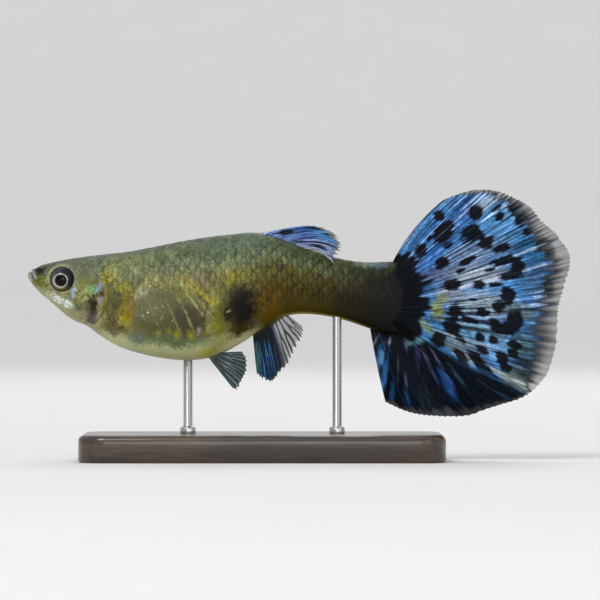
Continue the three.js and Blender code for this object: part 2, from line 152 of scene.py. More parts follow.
def noise(places, size, seed):
    """Smooth noise from 0 to 1 at places, an array (..., 2 or 3), with lumps about size across."""
    grid = places / size
    cell = np.floor(grid).astype(np.int64)
    share = grid - cell
    share = share * share * (3 - 2 * share)
    total = 0
    for corner in product((0, 1), repeat=places.shape[-1]):
        weight = np.prod(np.where(np.array(corner) == 1, share, 1 - share), axis=-1)
        total = total + weight * hashed(cell + np.array(corner), seed)
    return total


TURNS = [np.array(Euler(angles).to_matrix()) for angles in ((0.7, 0.5, 0.9), (2.1, 1.2, 0.3))]
SPREAD = 0.71  # brings two noises added together back to the spread of one


def lumps(places, size, seed):
    """The same noise over two turned grids at once, so that no line of a grid shows in it."""
    if places.shape[-1] == 2:
        places = np.insert(places, 1, 0.0, axis=-1)
    total = sum(noise(places @ turn, size, seed + 50 * k) for k, turn in enumerate(TURNS))
    return 0.5 + SPREAD * (total - 1)


def shade(red, green, blue):
    """A display colour, 0 to 255, as linear light."""
    share = np.array([red, green, blue], float) / 255
    return np.where(share <= 0.04045, share / 12.92, ((share + 0.055) / 1.055) ** 2.4)


class Paint:
    """Colour over an array of places, laid on coat by coat where each coat's mask is above 0."""

    def __init__(self, *tint):
        self.colour = shade(*tint)

    def blend(self, mask, new):
        self.colour = lerp(self.colour, new, np.clip(mask, 0, 1)[..., None])

    def lay(self, mask, *tint):
        """A coat of a display colour, 0 to 255."""
        self.blend(mask, shade(*tint))

    def shift(self, mask, times):
        """Makes the colour that is there lighter or darker where mask is above 0."""
        self.blend(mask, self.colour * times)

    def tone(self, times, least, most):
        """The same at every place, by an array of factors held from least to most."""
        self.colour = self.colour * np.clip(times, least, most)[..., None]

    def held(self):
        return np.clip(self.colour, 0, 1)


# The section across the body and points of its surface.
def rounding(x):
    past = np.maximum(1 - x / NOSE_ROUND, (x - BODY_LENGTH + STALK_ROUND) / STALK_ROUND)
    return np.sqrt(np.clip(1 - np.clip(past, 0, None) ** 2, 0, 1))


def section(x, grow=0.0):
    share = rounding(x)
    middle = lerp(BELLY(x), BACK(x), WIDEST_SHARE(x))
    up = (BACK(x) - middle) * share + grow
    down = (middle - BELLY(x)) * share + grow
    return middle, up, down, HALF_WIDTH(x) * share + grow


def body_points(x, angle):
    """Points of the smooth body: angle 0 is the right side and a quarter turn is the back."""
    middle, up, down, side = section(x)
    cos, sin = np.cos(angle), np.sin(angle)
    power = 2 / np.where(sin > 0, UPPER_SQUARE(x), LOWER_SQUARE(x))
    y = side * np.sign(cos) * np.abs(cos) ** power
    z = middle + np.where(sin > 0, up, down) * np.sign(sin) * np.abs(sin) ** power
    return np.stack([x + 0 * y, y, z], axis=-1)


def half_width_at(x, z, grow=0.0):
    middle, up, down, side = section(x, grow)
    above = z > middle
    share = np.where(above, (z - middle) / up, (middle - z) / down)
    power = np.where(above, UPPER_SQUARE(x), LOWER_SQUARE(x))
    return side * np.clip(1 - np.clip(share, 0, 1) ** power, 0, 1) ** (1 / power)


def normals_of(grid, closed):
    """Unit normals of a grid of points (rows, columns, 3), whose columns may close on themselves."""
    along = np.gradient(grid, axis=0)
    if closed:
        across = (np.roll(grid, -1, axis=1) - np.roll(grid, 1, axis=1)) / 2
    else:
        across = np.gradient(grid, axis=1)
    normal = np.cross(across, along)
    length = np.linalg.norm(normal, axis=-1, keepdims=True)
    return normal / np.maximum(length, 1e-12)


def add_object(name, data):
    added = bpy.data.objects.new(name, data)
    bpy.context.scene.collection.objects.link(added)
    return added


def make_mesh(name, points, faces, look, colour=None, masks=None):
    """A smooth-shaded piece from points in the fish's own frame, with colour and masks per vertex."""
    mesh = bpy.data.meshes.new(name)
    placed = points.reshape(-1, 3) * MM + np.array(ORIGIN)
    corners = np.concatenate([np.asarray(f, np.int32).ravel() for f in faces])
    sizes = np.concatenate([np.full(len(f), f.shape[1], np.int32) for f in faces])
    starts = np.concatenate([[0], np.cumsum(sizes)[:-1]]).astype(np.int32)
    mesh.vertices.add(len(placed))
    mesh.vertices.foreach_set("co", placed.astype(np.float32).ravel())
    mesh.loops.add(len(corners))
    mesh.loops.foreach_set("vertex_index", corners)
    mesh.polygons.add(len(sizes))
    mesh.polygons.foreach_set("loop_start", starts)
    mesh.polygons.foreach_set("loop_total", sizes)
    mesh.polygons.foreach_set("use_smooth", np.ones(len(sizes), bool))
    mesh.update(calc_edges=True)
    mesh.validate()
    if colour is not None:
        rgba = np.concatenate([colour, np.ones((len(placed), 1))], axis=1)
        layer = mesh.attributes.new("tone", "FLOAT_COLOR", "POINT")
        layer.data.foreach_set("color", rgba.astype(np.float32).ravel())
    for mask, values in (masks or {}).items():
        layer = mesh.attributes.new(mask, "FLOAT", "POINT")
        layer.data.foreach_set("value", values.astype(np.float32))
    mesh.materials.append(look)
    return add_object(name, mesh)


def ring_quads(index):
    """Quads between neighbouring rings of point numbers, an array (rings, around)."""
    here, after = index[:-1], index[1:]
    corners = [here, np.roll(here, -1, axis=1), np.roll(after, -1, axis=1), after]
    return np.stack(corners, axis=-1).reshape(-1, 4)


def merge_ends(rings):
    """Values ring by ring as one row, with a single value for the first ring and for the last."""
    inner = rings[1:-1].reshape(-1, *rings.shape[2:])
    return np.concatenate([rings[:1, 0], inner, rings[-1:, 0]])


def closed_piece(name, grid, look, colour=None, masks=None, turned=False):
    """A piece from rings of points (rings, around, 3) whose first and last rings are one point each."""
    points = merge_ends(grid)
    index = np.arange(1, len(points) - 1).reshape(-1, grid.shape[1])
    first, last = index[0], index[-1]
    front = np.stack([np.zeros_like(first), np.roll(first, -1), first], axis=-1)
    back = np.stack([np.full_like(last, len(points) - 1), last, np.roll(last, -1)], axis=-1)
    faces = [ring_quads(index), front, back]
    if turned:
        faces = [face[:, ::-1] for face in faces]
    tones = None if colour is None else merge_ends(colour)
    masks = {mask: merge_ends(values) for mask, values in (masks or {}).items()}
    return make_mesh(name, points, faces, look, tones, masks)


def settle(piece, slot, *nodes):
    """The piece rides on the body and stands for these nodes of the frame."""
    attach(piece, "root")
    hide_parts(*nodes)


class Look:
    """A node material with one Principled shader, and short calls that add nodes to it."""

    def __init__(self, name, **sockets):
        self.material = bpy.data.materials.new(name)
        self.material.use_nodes = True
        self.tree = self.material.node_tree
        self.shader = self.tree.nodes["Principled BSDF"]
        for socket, value in sockets.items():
            self.shader.inputs[socket.replace("_", " ")].default_value = value

    def node(self, kind, inputs, **settings):
        """A node whose inputs are linked to other nodes' outputs or set to values."""
        made = self.tree.nodes.new("ShaderNode" + kind)
        for key, value in settings.items():
            setattr(made, key, value)
        for socket, value in inputs.items():
            if hasattr(value, "is_linked"):
                self.tree.links.new(value, made.inputs[socket])
            else:
                made.inputs[socket].default_value = value
        return made

    def feed(self, socket, source):
        self.tree.links.new(source, self.shader.inputs[socket])

    def mask(self, name, output="Fac"):
        return self.node("Attribute", {}, attribute_name=name).outputs[output]

    def tone(self):
        return self.mask("tone", "Color")

    def noise_at(self, place, detail):
        return self.node("TexNoise", {"Scale": 1, "Detail": detail, "Vector": place}).outputs["Fac"]

    def noise(self, size, detail=2.0, stretch=(1, 1, 1)):
        """Noise with lumps about size metres across."""
        place = self.node("TexCoord", {}).outputs["Object"]
        scale = [1 / (size * s) for s in stretch]
        mapping = self.node("Mapping", {"Scale": scale, "Vector": place})
        return self.noise_at(mapping.outputs["Vector"], detail)

    def reach(self, source, low, high, start=0.0, end=1.0):
        """source mapped from low..high to start..end, smoothly and held at both ends."""
        inputs = {"Value": source, "From Min": low, "From Max": high, "To Min": start, "To Max": end}
        return self.node("MapRange", inputs, interpolation_type="SMOOTHSTEP").outputs["Result"]

    def math(self, operation, first, second):
        return self.node("Math", {0: first, 1: second}, operation=operation).outputs["Value"]

    def times(self, first, second):
        return self.math("MULTIPLY", first, second)

    def mix(self, share, first, second, blend="MIX"):
        """A mix of two colours, each another node's output or a tuple of red, green and blue."""
        inputs = {0: share}
        for socket, side in ((6, first), (7, second)):
            inputs[socket] = (*side, 1) if isinstance(side, tuple) else side
        return self.node("Mix", inputs, data_type="RGBA", blend_type=blend).outputs[2]

    def bump(self, height, distance, strength):
        made = self.node("Bump", {"Distance": distance, "Strength": strength, "Height": height})
        self.feed("Normal", made.outputs["Normal"])


# The skin: one surface over the head, gill covers, trunk and tail stalk. SKIN says how many rings of
# points each part has, and how many points a ring has.
SKIN = {"nose": 26, "head": 120, "body": 290, "end": 22, "ring": 400}
# A scale: how far it is to the next one and to the next row, how far its rear edge curves, its half
# width and how high it stands at its front.
SCALE = {"length": 1.12, "row": 0.78, "curve": 0.7, "half": 0.92, "rise": 0.045}
LABEL_START = 500  # added to the scales' numbers, so that none is below 0
EYE = {"x": 3.86, "y": 1.78, "z": 1.93, "radius": 1.34, "depth": 0.95, "rings": 110, "around": 96}
MOUTH = {"x": 0.33, "z": 2.85, "slope": 1.18, "length": 1.05}
NOSTRILS = [(1.95, 3.2, 0.17), (2.3, 3.0, 0.12)]
HEAD_END = 9.2
# How far each part of the skin's relief stands out, or is sunk.
RISE = {
    "gill_cover": 0.14, "gill_groove": 0.06, "cheek_groove": 0.05, "cheek_swelling": 0.04,
    "lips": 0.14, "slit": 0.28, "fold": 0.06, "nostril_rim": 0.05, "nostril": 0.2,
    "socket_rim": 0.09, "socket_groove": 0.06,
}


def skin_stations():
    quarter = math.pi / 2
    nose = NOSE_ROUND * (1 - np.cos(np.linspace(0, quarter, SKIN["nose"])))
    head = np.linspace(NOSE_ROUND, HEAD_END, SKIN["head"])[1:]
    body = np.linspace(HEAD_END, BODY_LENGTH - STALK_ROUND, SKIN["body"])[1:]
    end = BODY_LENGTH - STALK_ROUND * (1 - np.sin(np.linspace(0, quarter, SKIN["end"])))
    return np.concatenate([nose, head, body, end[1:]])


def scale_field(u, v):
    """Overlapping scales over the plane: how high each place stands, how near its scale's rear
    edge it is, and a number for its scale. u runs back along the fish and v down from its back."""
    best = np.full(u.shape, np.inf)
    rear = np.zeros(u.shape)
    number = np.zeros(u.shape)
    base = np.floor(v / SCALE["row"])
    for shift in (-1, 0, 1, 2):
        row = base + shift
        aside = (v - row * SCALE["row"]) / SCALE["half"]
        inside = np.abs(aside) < 1
        arc = SCALE["curve"] * np.sqrt(np.clip(1 - aside**2, 0, 1))
        offset = (row % 2) * SCALE["length"] / 2
        to_edge = np.mod(arc + offset - u, SCALE["length"])
        centre = u + to_edge - arc
        chosen = inside & (centre < best)
        best = np.where(chosen, centre, best)
        rear = np.where(chosen, to_edge, rear)
        label = np.stack([np.round((centre - offset) / SCALE["length"]), row], axis=-1)
        number = np.where(chosen, hashed(label.astype(np.int64) + LABEL_START, 3), number)
    height = SCALE["rise"] * (1 - rear / SCALE["length"])
    return height, rear, number


def skin_relief(points, u, v):
    """How far each place of the skin stands out from the smooth body, and the masks that colour it."""
    x, z = points[..., 0], points[..., 2]
    edge = GILL_EDGE(z)
    height, rear, number = scale_field(u, v)
    back_share = (z - BELLY(x)) / np.maximum(BACK(x) - BELLY(x), 1e-6)
    scaled = smooth(x, edge - 0.1, edge + 0.7) * smooth(back_share, 0.02, 0.2)
    scaled = np.maximum(scaled, 0.55 * smooth(x, 5.5, 7.5) * smooth(back_share, 0.7, 0.85))
    scaled = scaled * smooth(x, 41.6, 39.5)
    relief = height * scaled

    # Gill cover: a plate with a raised hind edge and a groove behind it, and the cheek's own edge.
    flap = smooth(back_share, 0.93, 0.72) * smooth(back_share, 0.02, 0.12)
    behind = x - edge
    relief += RISE["gill_cover"] * flap * smooth(behind, 0.12, -0.12) * smooth(behind, -3.4, -0.6)
    relief -= RISE["gill_groove"] * flap * bell(behind - 0.2, 0.15)
    cheek = x - (edge - 2.35 + 0.09 * z**2)
    relief -= RISE["cheek_groove"] * flap * bell(cheek, 0.12)
    relief += RISE["cheek_swelling"] * flap * bell(cheek + 0.35, 0.3)
    gill_line = flap * bell(behind - 0.1, 0.16)

    # Mouth: a slit that runs back and down from the front, with a lip above it and one below.
    along = (x - MOUTH["x"]) * math.cos(MOUTH["slope"]) - (z - MOUTH["z"]) * math.sin(MOUTH["slope"])
    over = (x - MOUTH["x"]) * math.sin(MOUTH["slope"]) + (z - MOUTH["z"]) * math.cos(MOUTH["slope"])
    mouth = smooth(along, MOUTH["length"] + 0.25, MOUTH["length"] - 0.25)
    lips = mouth * (0.9 * bell(over - 0.24, 0.16) + bell(over + 0.2, 0.17))
    slit = mouth * bell(over, 0.06)
    relief += RISE["lips"] * lips - RISE["slit"] * slit
    fold = smooth(along, 0.1, 0.8) * bell(over - 0.55, 0.09) * smooth(along, 2.0, 1.2)
    relief -= RISE["fold"] * fold

    # Nostrils: two small pits on each side, each with a rim.
    pits = np.zeros(x.shape)
    for at_x, at_z, radius in NOSTRILS:
        away = np.hypot(x - at_x, z - at_z)
        pits = np.maximum(pits, smooth(away, radius * 1.1, radius * 0.5))
        relief += RISE["nostril_rim"] * bell(away - radius * 1.25, radius * 0.4)
    relief -= RISE["nostril"] * pits

    # The eye's socket: a rim round it and a groove outside the rim.
    away = np.hypot(x - EYE["x"], z - EYE["z"])
    relief += RISE["socket_rim"] * bell(away - EYE["radius"] - 0.16, 0.15)
    lower_face = smooth(z, 3.4, 2.4)
    relief -= RISE["socket_groove"] * bell(away - EYE["radius"] - 0.55, 0.22) * lower_face

    masks = {"scaled": scaled, "rear": rear, "number": number, "back_share": back_share}
    masks.update(gill_line=gill_line, lips=lips, slit=slit, pits=pits, fold=fold)
    return relief, masks


def sink_sockets(points):
    """Draws the skin in under each eye, so that the eye sits in a cup."""
    x, y, z = (points[..., k] for k in range(3))
    away = np.hypot(x - EYE["x"], z - EYE["z"]) / EYE["radius"]
    inside = smooth(away, 1.06, 0.9) * (z > -1)
    floor = EYE["y"] - 0.1
    sunk = np.sign(y) * lerp(np.abs(y), np.minimum(np.abs(y), floor), inside)
    return np.stack([x, sunk, z], axis=-1)


# Marks of the skin as they lie in the side view, in millimetres: the centre, the half sizes, the tilt
# in degrees, how soft the edge is, the colour and its strength.
SKIN_MARKS = [
    ("snout's dark patch", (1.2, 2.75), (0.7, 0.46), -15, 0.5, (16, 21, 18), 1.0),
    ("olive snout", (1.05, 1.75), (0.75, 0.5), -45, 0.6, (88, 96, 12), 0.85),
    ("crown", (3.2, 3.9), (1.9, 0.35), 12, 0.6, (74, 84, 74), 0.6),
    ("pale orbit", (3.8, 1.92), (1.66, 1.66), 0, 0.22, (150, 154, 118), 0.8),
    ("cheek", (6.0, -0.1), (1.4, 1.5), 0, 0.6, (106, 106, 64), 0.8),
    ("crescent", (3.55, -0.38), (1.3, 0.34), -27, 0.3, (168, 182, 162), 0.95),
    ("crescent's end", (4.45, -0.72), (0.42, 0.42), 0, 0.35, (180, 196, 178), 0.95),
    ("blue behind the eye", (5.14, 0.65), (0.24, 0.75), -14, 0.5, (150, 168, 192), 0.85),
    ("gill gold", (6.3, 0.65), (0.8, 0.8), 0, 0.7, (130, 134, 62), 0.7),
    ("gill red", (8.3, 0.36), (0.26, 0.42), -10, 0.45, (74, 34, 22), 0.9),
    ("gill's white fleck", (6.45, -0.2), (0.22, 0.2), 0, 0.6, (196, 204, 160), 0.8),
    ("gill dark", (7.25, -0.85), (0.58, 1.25), 0, 0.7, (32, 29, 6), 0.97),
    ("gill mauve", (6.9, -2.25), (0.66, 0.72), 0, 0.6, (86, 68, 78), 0.9),
    ("cheek brown", (5.6, -1.1), (0.4, 0.36), 0, 0.7, (88, 80, 62), 0.7),
    ("jaw olive", (8.3, -3.2), (0.55, 0.4), -30, 0.6, (126, 122, 48), 0.7),
    ("brown behind the gill", (9.5, -0.9), (0.62, 1.3), 0, 0.6, (86, 78, 44), 0.85),
    ("brown throat", (9.5, -3.35), (1.3, 0.6), -38, 0.7, (92, 78, 46), 0.8),
    ("throat's dark fleck", (9.7, -2.6), (0.2, 0.2), 0, 0.6, (48, 40, 18), 0.8),
    ("throat's dark fleck", (10.3, -3.4), (0.22, 0.18), 0, 0.6, (56, 46, 24), 0.8),
    ("yellow nape", (9.1, 2.5), (0.75, 0.8), 0, 0.6, (148, 140, 24), 0.9),
    ("nape's core", (9.5, 2.5), (0.28, 0.36), 0, 0.6, (116, 102, 6), 0.8),
    ("yellow shoulder", (10.8, 1.35), (0.7, 0.6), -30, 0.6, (128, 118, 26), 0.8),
    ("bright flank", (10.6, 3.3), (2.2, 0.8), 12, 0.8, (132, 138, 86), 0.65),
    ("gold spot", (11.15, -1.1), (0.95, 1.85), 0, 0.35, (136, 120, 0), 0.98),
    ("gold spot's core", (11.6, -0.85), (0.4, 1.0), 0, 0.5, (136, 98, 0), 0.8),
    ("gold spot's foot", (10.8, -2.6), (0.6, 0.35), -40, 0.6, (150, 142, 40), 0.8),
    ("pale above the window", (12.75, 0.25), (0.9, 0.8), 0, 0.6, (176, 172, 142), 0.85),
    ("pale shoulder band", (14.4, 1.3), (1.5, 0.5), -12, 0.7, (150, 148, 96), 0.6),
    ("window", (15.8, -1.9), (4.1, 2.9), -8, 0.32, (80, 80, 50), 0.94),
    ("window's dusk", (17.9, -2.6), (1.9, 1.5), -25, 0.6, (62, 58, 42), 0.85),
    ("window's bloom", (13.6, -0.9), (1.5, 1.3), 0, 0.7, (100, 99, 72), 0.7),
    ("window's green", (17.4, 0.3), (1.1, 0.8), -45, 0.6, (112, 118, 62), 0.6),
    ("blue under the window", (12.1, -4.4), (0.75, 0.55), -20, 0.8, (78, 116, 112), 0.8),
    ("green under the window", (16.3, -4.75), (3.6, 0.62), -2, 0.6, (88, 108, 76), 0.85),
    ("yellow fleck", (14.5, -4.0), (0.3, 0.3), 0, 0.6, (134, 136, 62), 0.8),
    ("yellow fleck", (15.6, -3.75), (0.3, 0.35), 0, 0.6, (124, 122, 40), 0.8),
    ("yellow fleck", (16.5, -4.05), (0.34, 0.5), -25, 0.9, (140, 136, 46), 0.8),
    ("yellow fleck", (18.1, -4.15), (0.3, 0.55), 30, 0.9, (140, 134, 30), 0.85),
    ("yellow fleck", (19.9, -3.3), (0.4, 0.5), 20, 0.9, (144, 138, 66), 0.8),
    ("silver fleck", (18.9, -3.65), (0.24, 0.4), 0, 0.8, (150, 146, 128), 0.75),
    ("yellow vent", (19.9, -6.1), (1.15, 0.5), 6, 0.6, (196, 188, 30), 0.98),
    ("vent's glow", (21.4, -5.2), (1.9, 0.7), 28, 0.7, (138, 132, 60), 0.7),
    ("gold strut", (18.4, 1.0), (1.6, 0.24), -42, 0.5, (150, 138, 44), 0.85),
    ("gold knot", (20.3, -0.35), (0.85, 0.34), -38, 0.5, (150, 138, 46), 0.85),
    ("gold column", (21.1, -2.4), (0.5, 1.9), 0, 0.6, (118, 120, 20), 0.9),
    ("pale column", (20.0, -1.8), (0.5, 0.9), 0, 0.6, (120, 118, 84), 0.7),
    ("mauve flank", (19.4, 2.2), (1.3, 1.2), 0, 0.8, (104, 94, 76), 0.6),
    ("brown flank", (20.6, 1.3), (1.0, 0.9), -40, 0.8, (88, 80, 54), 0.6),
    ("yellow flank", (22.6, 2.0), (1.1, 0.7), 30, 0.6, (128, 118, 44), 0.8),
    ("pale vent", (22.1, -3.9), (0.45, 0.9), 0, 0.6, (142, 136, 84), 0.75),
    ("gravid shade", (23.5, -1.2), (2.1, 2.7), 6, 0.6, (44, 40, 10), 0.93),
    ("gravid spot", (23.8, -1.1), (1.45, 2.2), 6, 0.6, (7, 6, 1), 1.0),
    ("gravid side", (22.1, -1.9), (0.4, 0.8), 0, 0.6, (26, 24, 14), 0.85),
    ("gravid's pale fleck", (22.25, -1.5), (0.09, 0.14), 0, 0.6, (170, 168, 120), 0.7),
    ("brown under the spot", (23.6, -3.5), (1.4, 0.8), 12, 0.6, (58, 42, 4), 0.9),
    ("vent's cream", (23.2, -5.0), (2.4, 0.66), 30, 0.6, (200, 194, 146), 0.98),
    ("orange behind the spot", (26.6, -1.2), (1.4, 2.4), 0, 0.6, (90, 66, 0), 0.9),
]
# Where the face shines in specks: the centre, the half sizes, the tilt, and the specks' colours.
FACE_SHINE = [
    ((6.9, 0.95), (0.6, 0.42), 10, (110, 190, 120)),
    ((7.45, 0.75), (0.4, 0.45), 0, (124, 184, 176)),
    ((8.2, 1.15), (0.55, 0.45), 10, (142, 152, 184)),
    ((8.15, -0.35), (0.3, 0.5), -16, (142, 136, 160)),
    ((3.55, -0.38), (1.35, 0.38), -27, (244, 255, 246)),
    ((4.45, -0.72), (0.46, 0.46), 0, (246, 255, 248)),
    ((5.14, 0.65), (0.24, 0.75), -14, (176, 192, 214)),
    ((6.4, 0.3), (0.9, 0.9), 0, (150, 156, 96)),
]
SILVER_PATCHES = [((3.7, -0.45), (1.5, 0.45), -27, 0.35), ((7.6, 0.9), (1.3, 0.9), 0, 0.5)]
# Pale ribs seen through the belly's window: from, to, width and strength.
RIBS = [
    ((16.4, 2.0), (17.6, 0.6), 0.2, 0.8), ((17.4, 0.7), (19.4, -2.2), 0.11, 0.75),
    ((16.4, 0.4), (18.6, -4.2), 0.11, 0.8), ((15.2, -0.2), (16.8, -3.8), 0.09, 0.5),
    ((13.2, -0.3), (14.6, -3.6), 0.09, 0.42), ((18.0, 0.6), (20.2, -1.9), 0.09, 0.6),
    ((13.9, -1.2), (14.6, -1.25), 0.05, 0.7), ((14.95, -1.95), (14.7, -2.5), 0.07, 0.85),
    ((18.9, -0.2), (19.3, -2.0), 0.08, 0.4),
]
RIB_TINT = (160, 158, 104)
GUT = ((19.5, 0.0), (19.6, -4.2), 0.09)  # the dark line of the gut: from, to and its width
FLECK_TINT = (214, 216, 190)
WINDOW_FLECKS = [(13.3, -1.7, 0.1), (12.8, -2.05, 0.08), (14.9, -1.0, 0.06), (16.0, -2.6, 0.06)]
# Where the belly is clear, so that the scales hardly show: the centre, half sizes, tilt and softness.
CLEAR_BELLY = ((15.8, -1.9), (4.6, 3.2), -8, 0.3)
# The grain breaks up light marks more than dark ones: the tint that counts as light, and how much.
LIGHT_TINT = 110
BREAK_UP = {"light": 1.7, "dark": 0.35}


def ellipse_mask(x, z, centre, half, tilt, soft):
    """1 inside an ellipse of the side view and 0 outside, with a soft edge of that share of it."""
    turn = math.radians(tilt)
    dx, dz = x - centre[0], z - centre[1]
    a = (dx * math.cos(turn) + dz * math.sin(turn)) / half[0]
    b = (dz * math.cos(turn) - dx * math.sin(turn)) / half[1]
    return smooth(np.hypot(a, b), 1 + soft, 1 - soft)


def line_mask(x, z, start, end, width):
    """1 on a straight line of the side view, falling to 0 over its width and at its ends."""
    ax, az = end[0] - start[0], end[1] - start[1]
    length = math.hypot(ax, az)
    t = ((x - start[0]) * ax + (z - start[1]) * az) / length**2
    aside = ((x - start[0]) * az - (z - start[1]) * ax) / length
    return bell(aside, width) * smooth(t, -0.05, 0.15) * smooth(t, 1.05, 0.8)


def skin_colours(points, masks):
    x, z = points[..., 0], points[..., 2]
    share = masks["back_share"]
    jitter = lumps(points, 1.1, 11) - 0.5
    fine = lumps(points, 0.42, 12) - 0.5
    finest = lumps(points, 0.16, 13) - 0.5

    # The ground colours: yellow-green flank, grey-green back, olive hind part, cream belly.
    paint = Paint(118, 115, 64)
    hind = smooth(x, 22.5, 28)
    paint.lay(hind, 72, 66, 14)
    paint.lay(hind * smooth(share, 0.62, 0.3), 66, 56, 6)
    paint.lay(smooth(x, 29, 36) * smooth(share, 0.75, 0.45), 46, 40, 6)
    paint.lay(smooth(share + 0.18 * jitter, 0.56, 0.84), 99, 108, 78)
    back = smooth(share + 0.12 * jitter, 0.72, 0.95)
    paint.lay(0.85 * back * smooth(x, 16, 22) * smooth(x, 33, 27), 84, 98, 82)
    paint.lay(0.85 * smooth(share + 0.1 * jitter, 0.6, 0.9) * smooth(x, 26, 30), 64, 72, 42)
    paint.lay(smooth(x, 11, 4) * smooth(share, 0.6, 0.9), 98, 103, 86)
    paint.lay(0.7 * smooth(share, 0.93, 1.0) * smooth(x, 26, 20), 74, 84, 70)
    # The cream belly is laid lighter than its own cream, painted light that makes up for the shade it
    # lies in where it faces down.
    cream = smooth(share + 0.05 * jitter, 0.2, 0.09) * smooth(x, 26, 24)
    throat = smooth(x, 9.2, 7.5) * smooth(share + 0.1 * jitter, 0.36, 0.2)
    paint.lay(cream, 192, 196, 146)
    paint.lay(throat, 158, 158, 116)

    # The named marks, each with a ragged edge.
    moved_x = x + 0.75 * fine + 0.55 * finest
    moved_z = z + 0.6 * jitter + 0.8 * finest
    for _, centre, half, tilt, soft, tint, strength in SKIN_MARKS:
        small = np.clip(min(half) / 0.6, 0.55, 1)
        at_x, at_z = lerp(x, moved_x, small), lerp(z, moved_z, small)
        inside = ellipse_mask(at_x, at_z, centre, half, tilt, soft)
        broken = BREAK_UP["light" if max(tint) > LIGHT_TINT else "dark"]
        paint.lay(strength * inside * np.clip(1 + broken * finest, 0.2, 1.1), *tint)
    for start, end, width, strength in RIBS:
        line = line_mask(x + 0.16 * jitter, z, start, end, width) * np.clip(0.85 + 1.4 * fine, 0.2, 1)
        paint.lay(strength * line, *RIB_TINT)
    for at_x, at_z, radius in WINDOW_FLECKS:
        paint.lay(0.9 * bell(np.hypot(x - at_x, z - at_z), radius), *FLECK_TINT)
    gut = line_mask(x + 0.25 * np.sin(z / 0.6), z, *GUT)
    paint.lay(0.8 * gut, 40, 30, 16)

    # Mottling, scale by scale and within each one, strongest on the flank and least on the belly.
    window_free = 1 - 0.8 * ellipse_mask(x, z, *CLEAR_BELLY)
    mottled = masks["scaled"] * smooth(share, 0.1, 0.35) * window_free
    grain = smooth(share, 0.08, 0.3) * lerp(0.35, 1, window_free)
    tone = 1 + 0.42 * (masks["number"] - 0.5) * mottled
    tone += (0.45 * fine + 0.95 * finest) * grain
    paint.tone(tone, 0.35, 1.9)
    rim = bell(masks["rear"], 0.2) * mottled * lerp(0.42, 0.92, smooth(x, 21, 29))
    paint.shift(rim * smooth(share, 1.02, 0.8), 0.3)
    glow = bell(masks["rear"] - 0.52, 0.24) * mottled
    glow = glow * smooth(share, 0.36, 0.55) * smooth(share, 0.95, 0.75)
    paint.shift(0.36 * glow, 1.9)

    # The stalk darkens to the black patch at the root of the tail, with silver and violet on its back
    # and a gold rim below.
    dark = smooth(x + 1.0 * jitter, 31, 39) * smooth(share, 1.15, 0.72)
    paint.lay(0.97 * dark, 6, 5, 0)
    silver_back = smooth(share + 0.1 * fine, 0.88, 0.99) * smooth(x, 35.2, 37.2) * smooth(x, 40.8, 38.4)
    paint.lay(0.6 * silver_back, 128, 146, 138)
    violet_back = smooth(share + 0.16 * fine, 0.84, 1.0) * smooth(x, 37.2, 39.2) * smooth(x, 40.2, 38.6)
    paint.lay(0.45 * violet_back, 54, 58, 120)
    gold_rim = smooth(share, 0.045, 0.015) * smooth(x, 26.5, 28.6) * smooth(x, 38.8, 34.8)
    paint.lay(0.75 * gold_rim, 150, 134, 54)
    black = smooth(x + 0.6 * jitter - 0.2 * z, 38.6, 40.4)
    paint.lay(black, 2, 3, 2)

    # Iridescent specks on the gill cover, and behind and under the eye.
    for place, (centre, half, tilt, tint) in enumerate(FACE_SHINE):
        inside = ellipse_mask(lerp(x, moved_x, 0.6), lerp(z, moved_z, 0.6), centre, half, tilt, 0.6)
        specks = smooth(lumps(points, 0.17, 15 + place), 0.42, 0.66)
        paint.lay(0.9 * inside * specks, *tint)

    # The face: a painted highlight on the lips, and painted shade in the mouth's line and fold, the
    # nostrils and the groove behind the gill cover.
    # Painted highlight: the raised lips are laid pale grey, for the light they catch.
    lips = np.clip(masks["lips"], 0, 1) * smooth(x, 1.3, 0.9) * np.clip(1 + 0.8 * finest, 0, 1)
    paint.lay(0.85 * lips, 168, 170, 166)
    # Painted shade: the mouth's slit, the nostril pits, the fold and the groove behind the gill cover are
    # laid dark, for the shade that falls in them.
    paint.lay(0.9 * masks["slit"], 16, 16, 12)
    paint.lay(0.85 * masks["pits"], 14, 16, 12)
    paint.lay(0.3 * masks["fold"], 40, 42, 26)
    paint.lay(0.35 * masks["gill_line"], 52, 46, 20)
    return paint.held()


def silver_share(points):
    """Where the skin shines like metal: the crescent under the eye and the gill's iridescent patch."""
    x, z = points[..., 0], points[..., 2]
    crescent, gill = (ellipse_mask(x, z, *patch) for patch in SILVER_PATCHES)
    return np.maximum(crescent, 0.7 * gill)


def skin_look():
    look = Look("guppy_skin", Specular_IOR_Level=0.12, Coat_Weight=0.05, Coat_Roughness=0.18,
                Subsurface_Weight=0.05, Subsurface_Radius=(1.0, 0.8, 0.5), Subsurface_Scale=0.0005)
    on_back = look.reach(look.mask("back_share"), 0.4, 0.85)
    pepper = look.reach(look.noise(0.00011, 1.0), 0.56, 0.68)
    peppered = look.times(pepper, look.times(on_back, 0.85))
    tone = look.mix(peppered, look.tone(), (0.012, 0.016, 0.01))
    # Painted glints: scattered specks on the scaled skin are laid 2.4 times lighter in the base colour,
    # standing in for light glinting off the scales.
    painted_glints = look.reach(look.noise(0.00013, 1.0, (1, 1, 1.3)), 0.62, 0.7, 0, 0.6)
    flank = look.times(painted_glints, look.mask("scaled"))
    lit = look.mix(flank, tone, look.mix(1.0, tone, (2.4, 2.4, 2.1), "MULTIPLY"))
    look.feed("Base Color", lit)
    look.feed("Metallic", look.times(look.mask("silver"), 0.6))
    grain = look.reach(look.noise(0.0005, 3.0), 0.3, 0.7, 0.38, 0.55)
    look.feed("Roughness", look.math("SUBTRACT", grain, look.times(look.mask("silver"), 0.12)))
    look.bump(look.noise(0.00018, 3.0), 0.00003, 0.7)
    return look.material


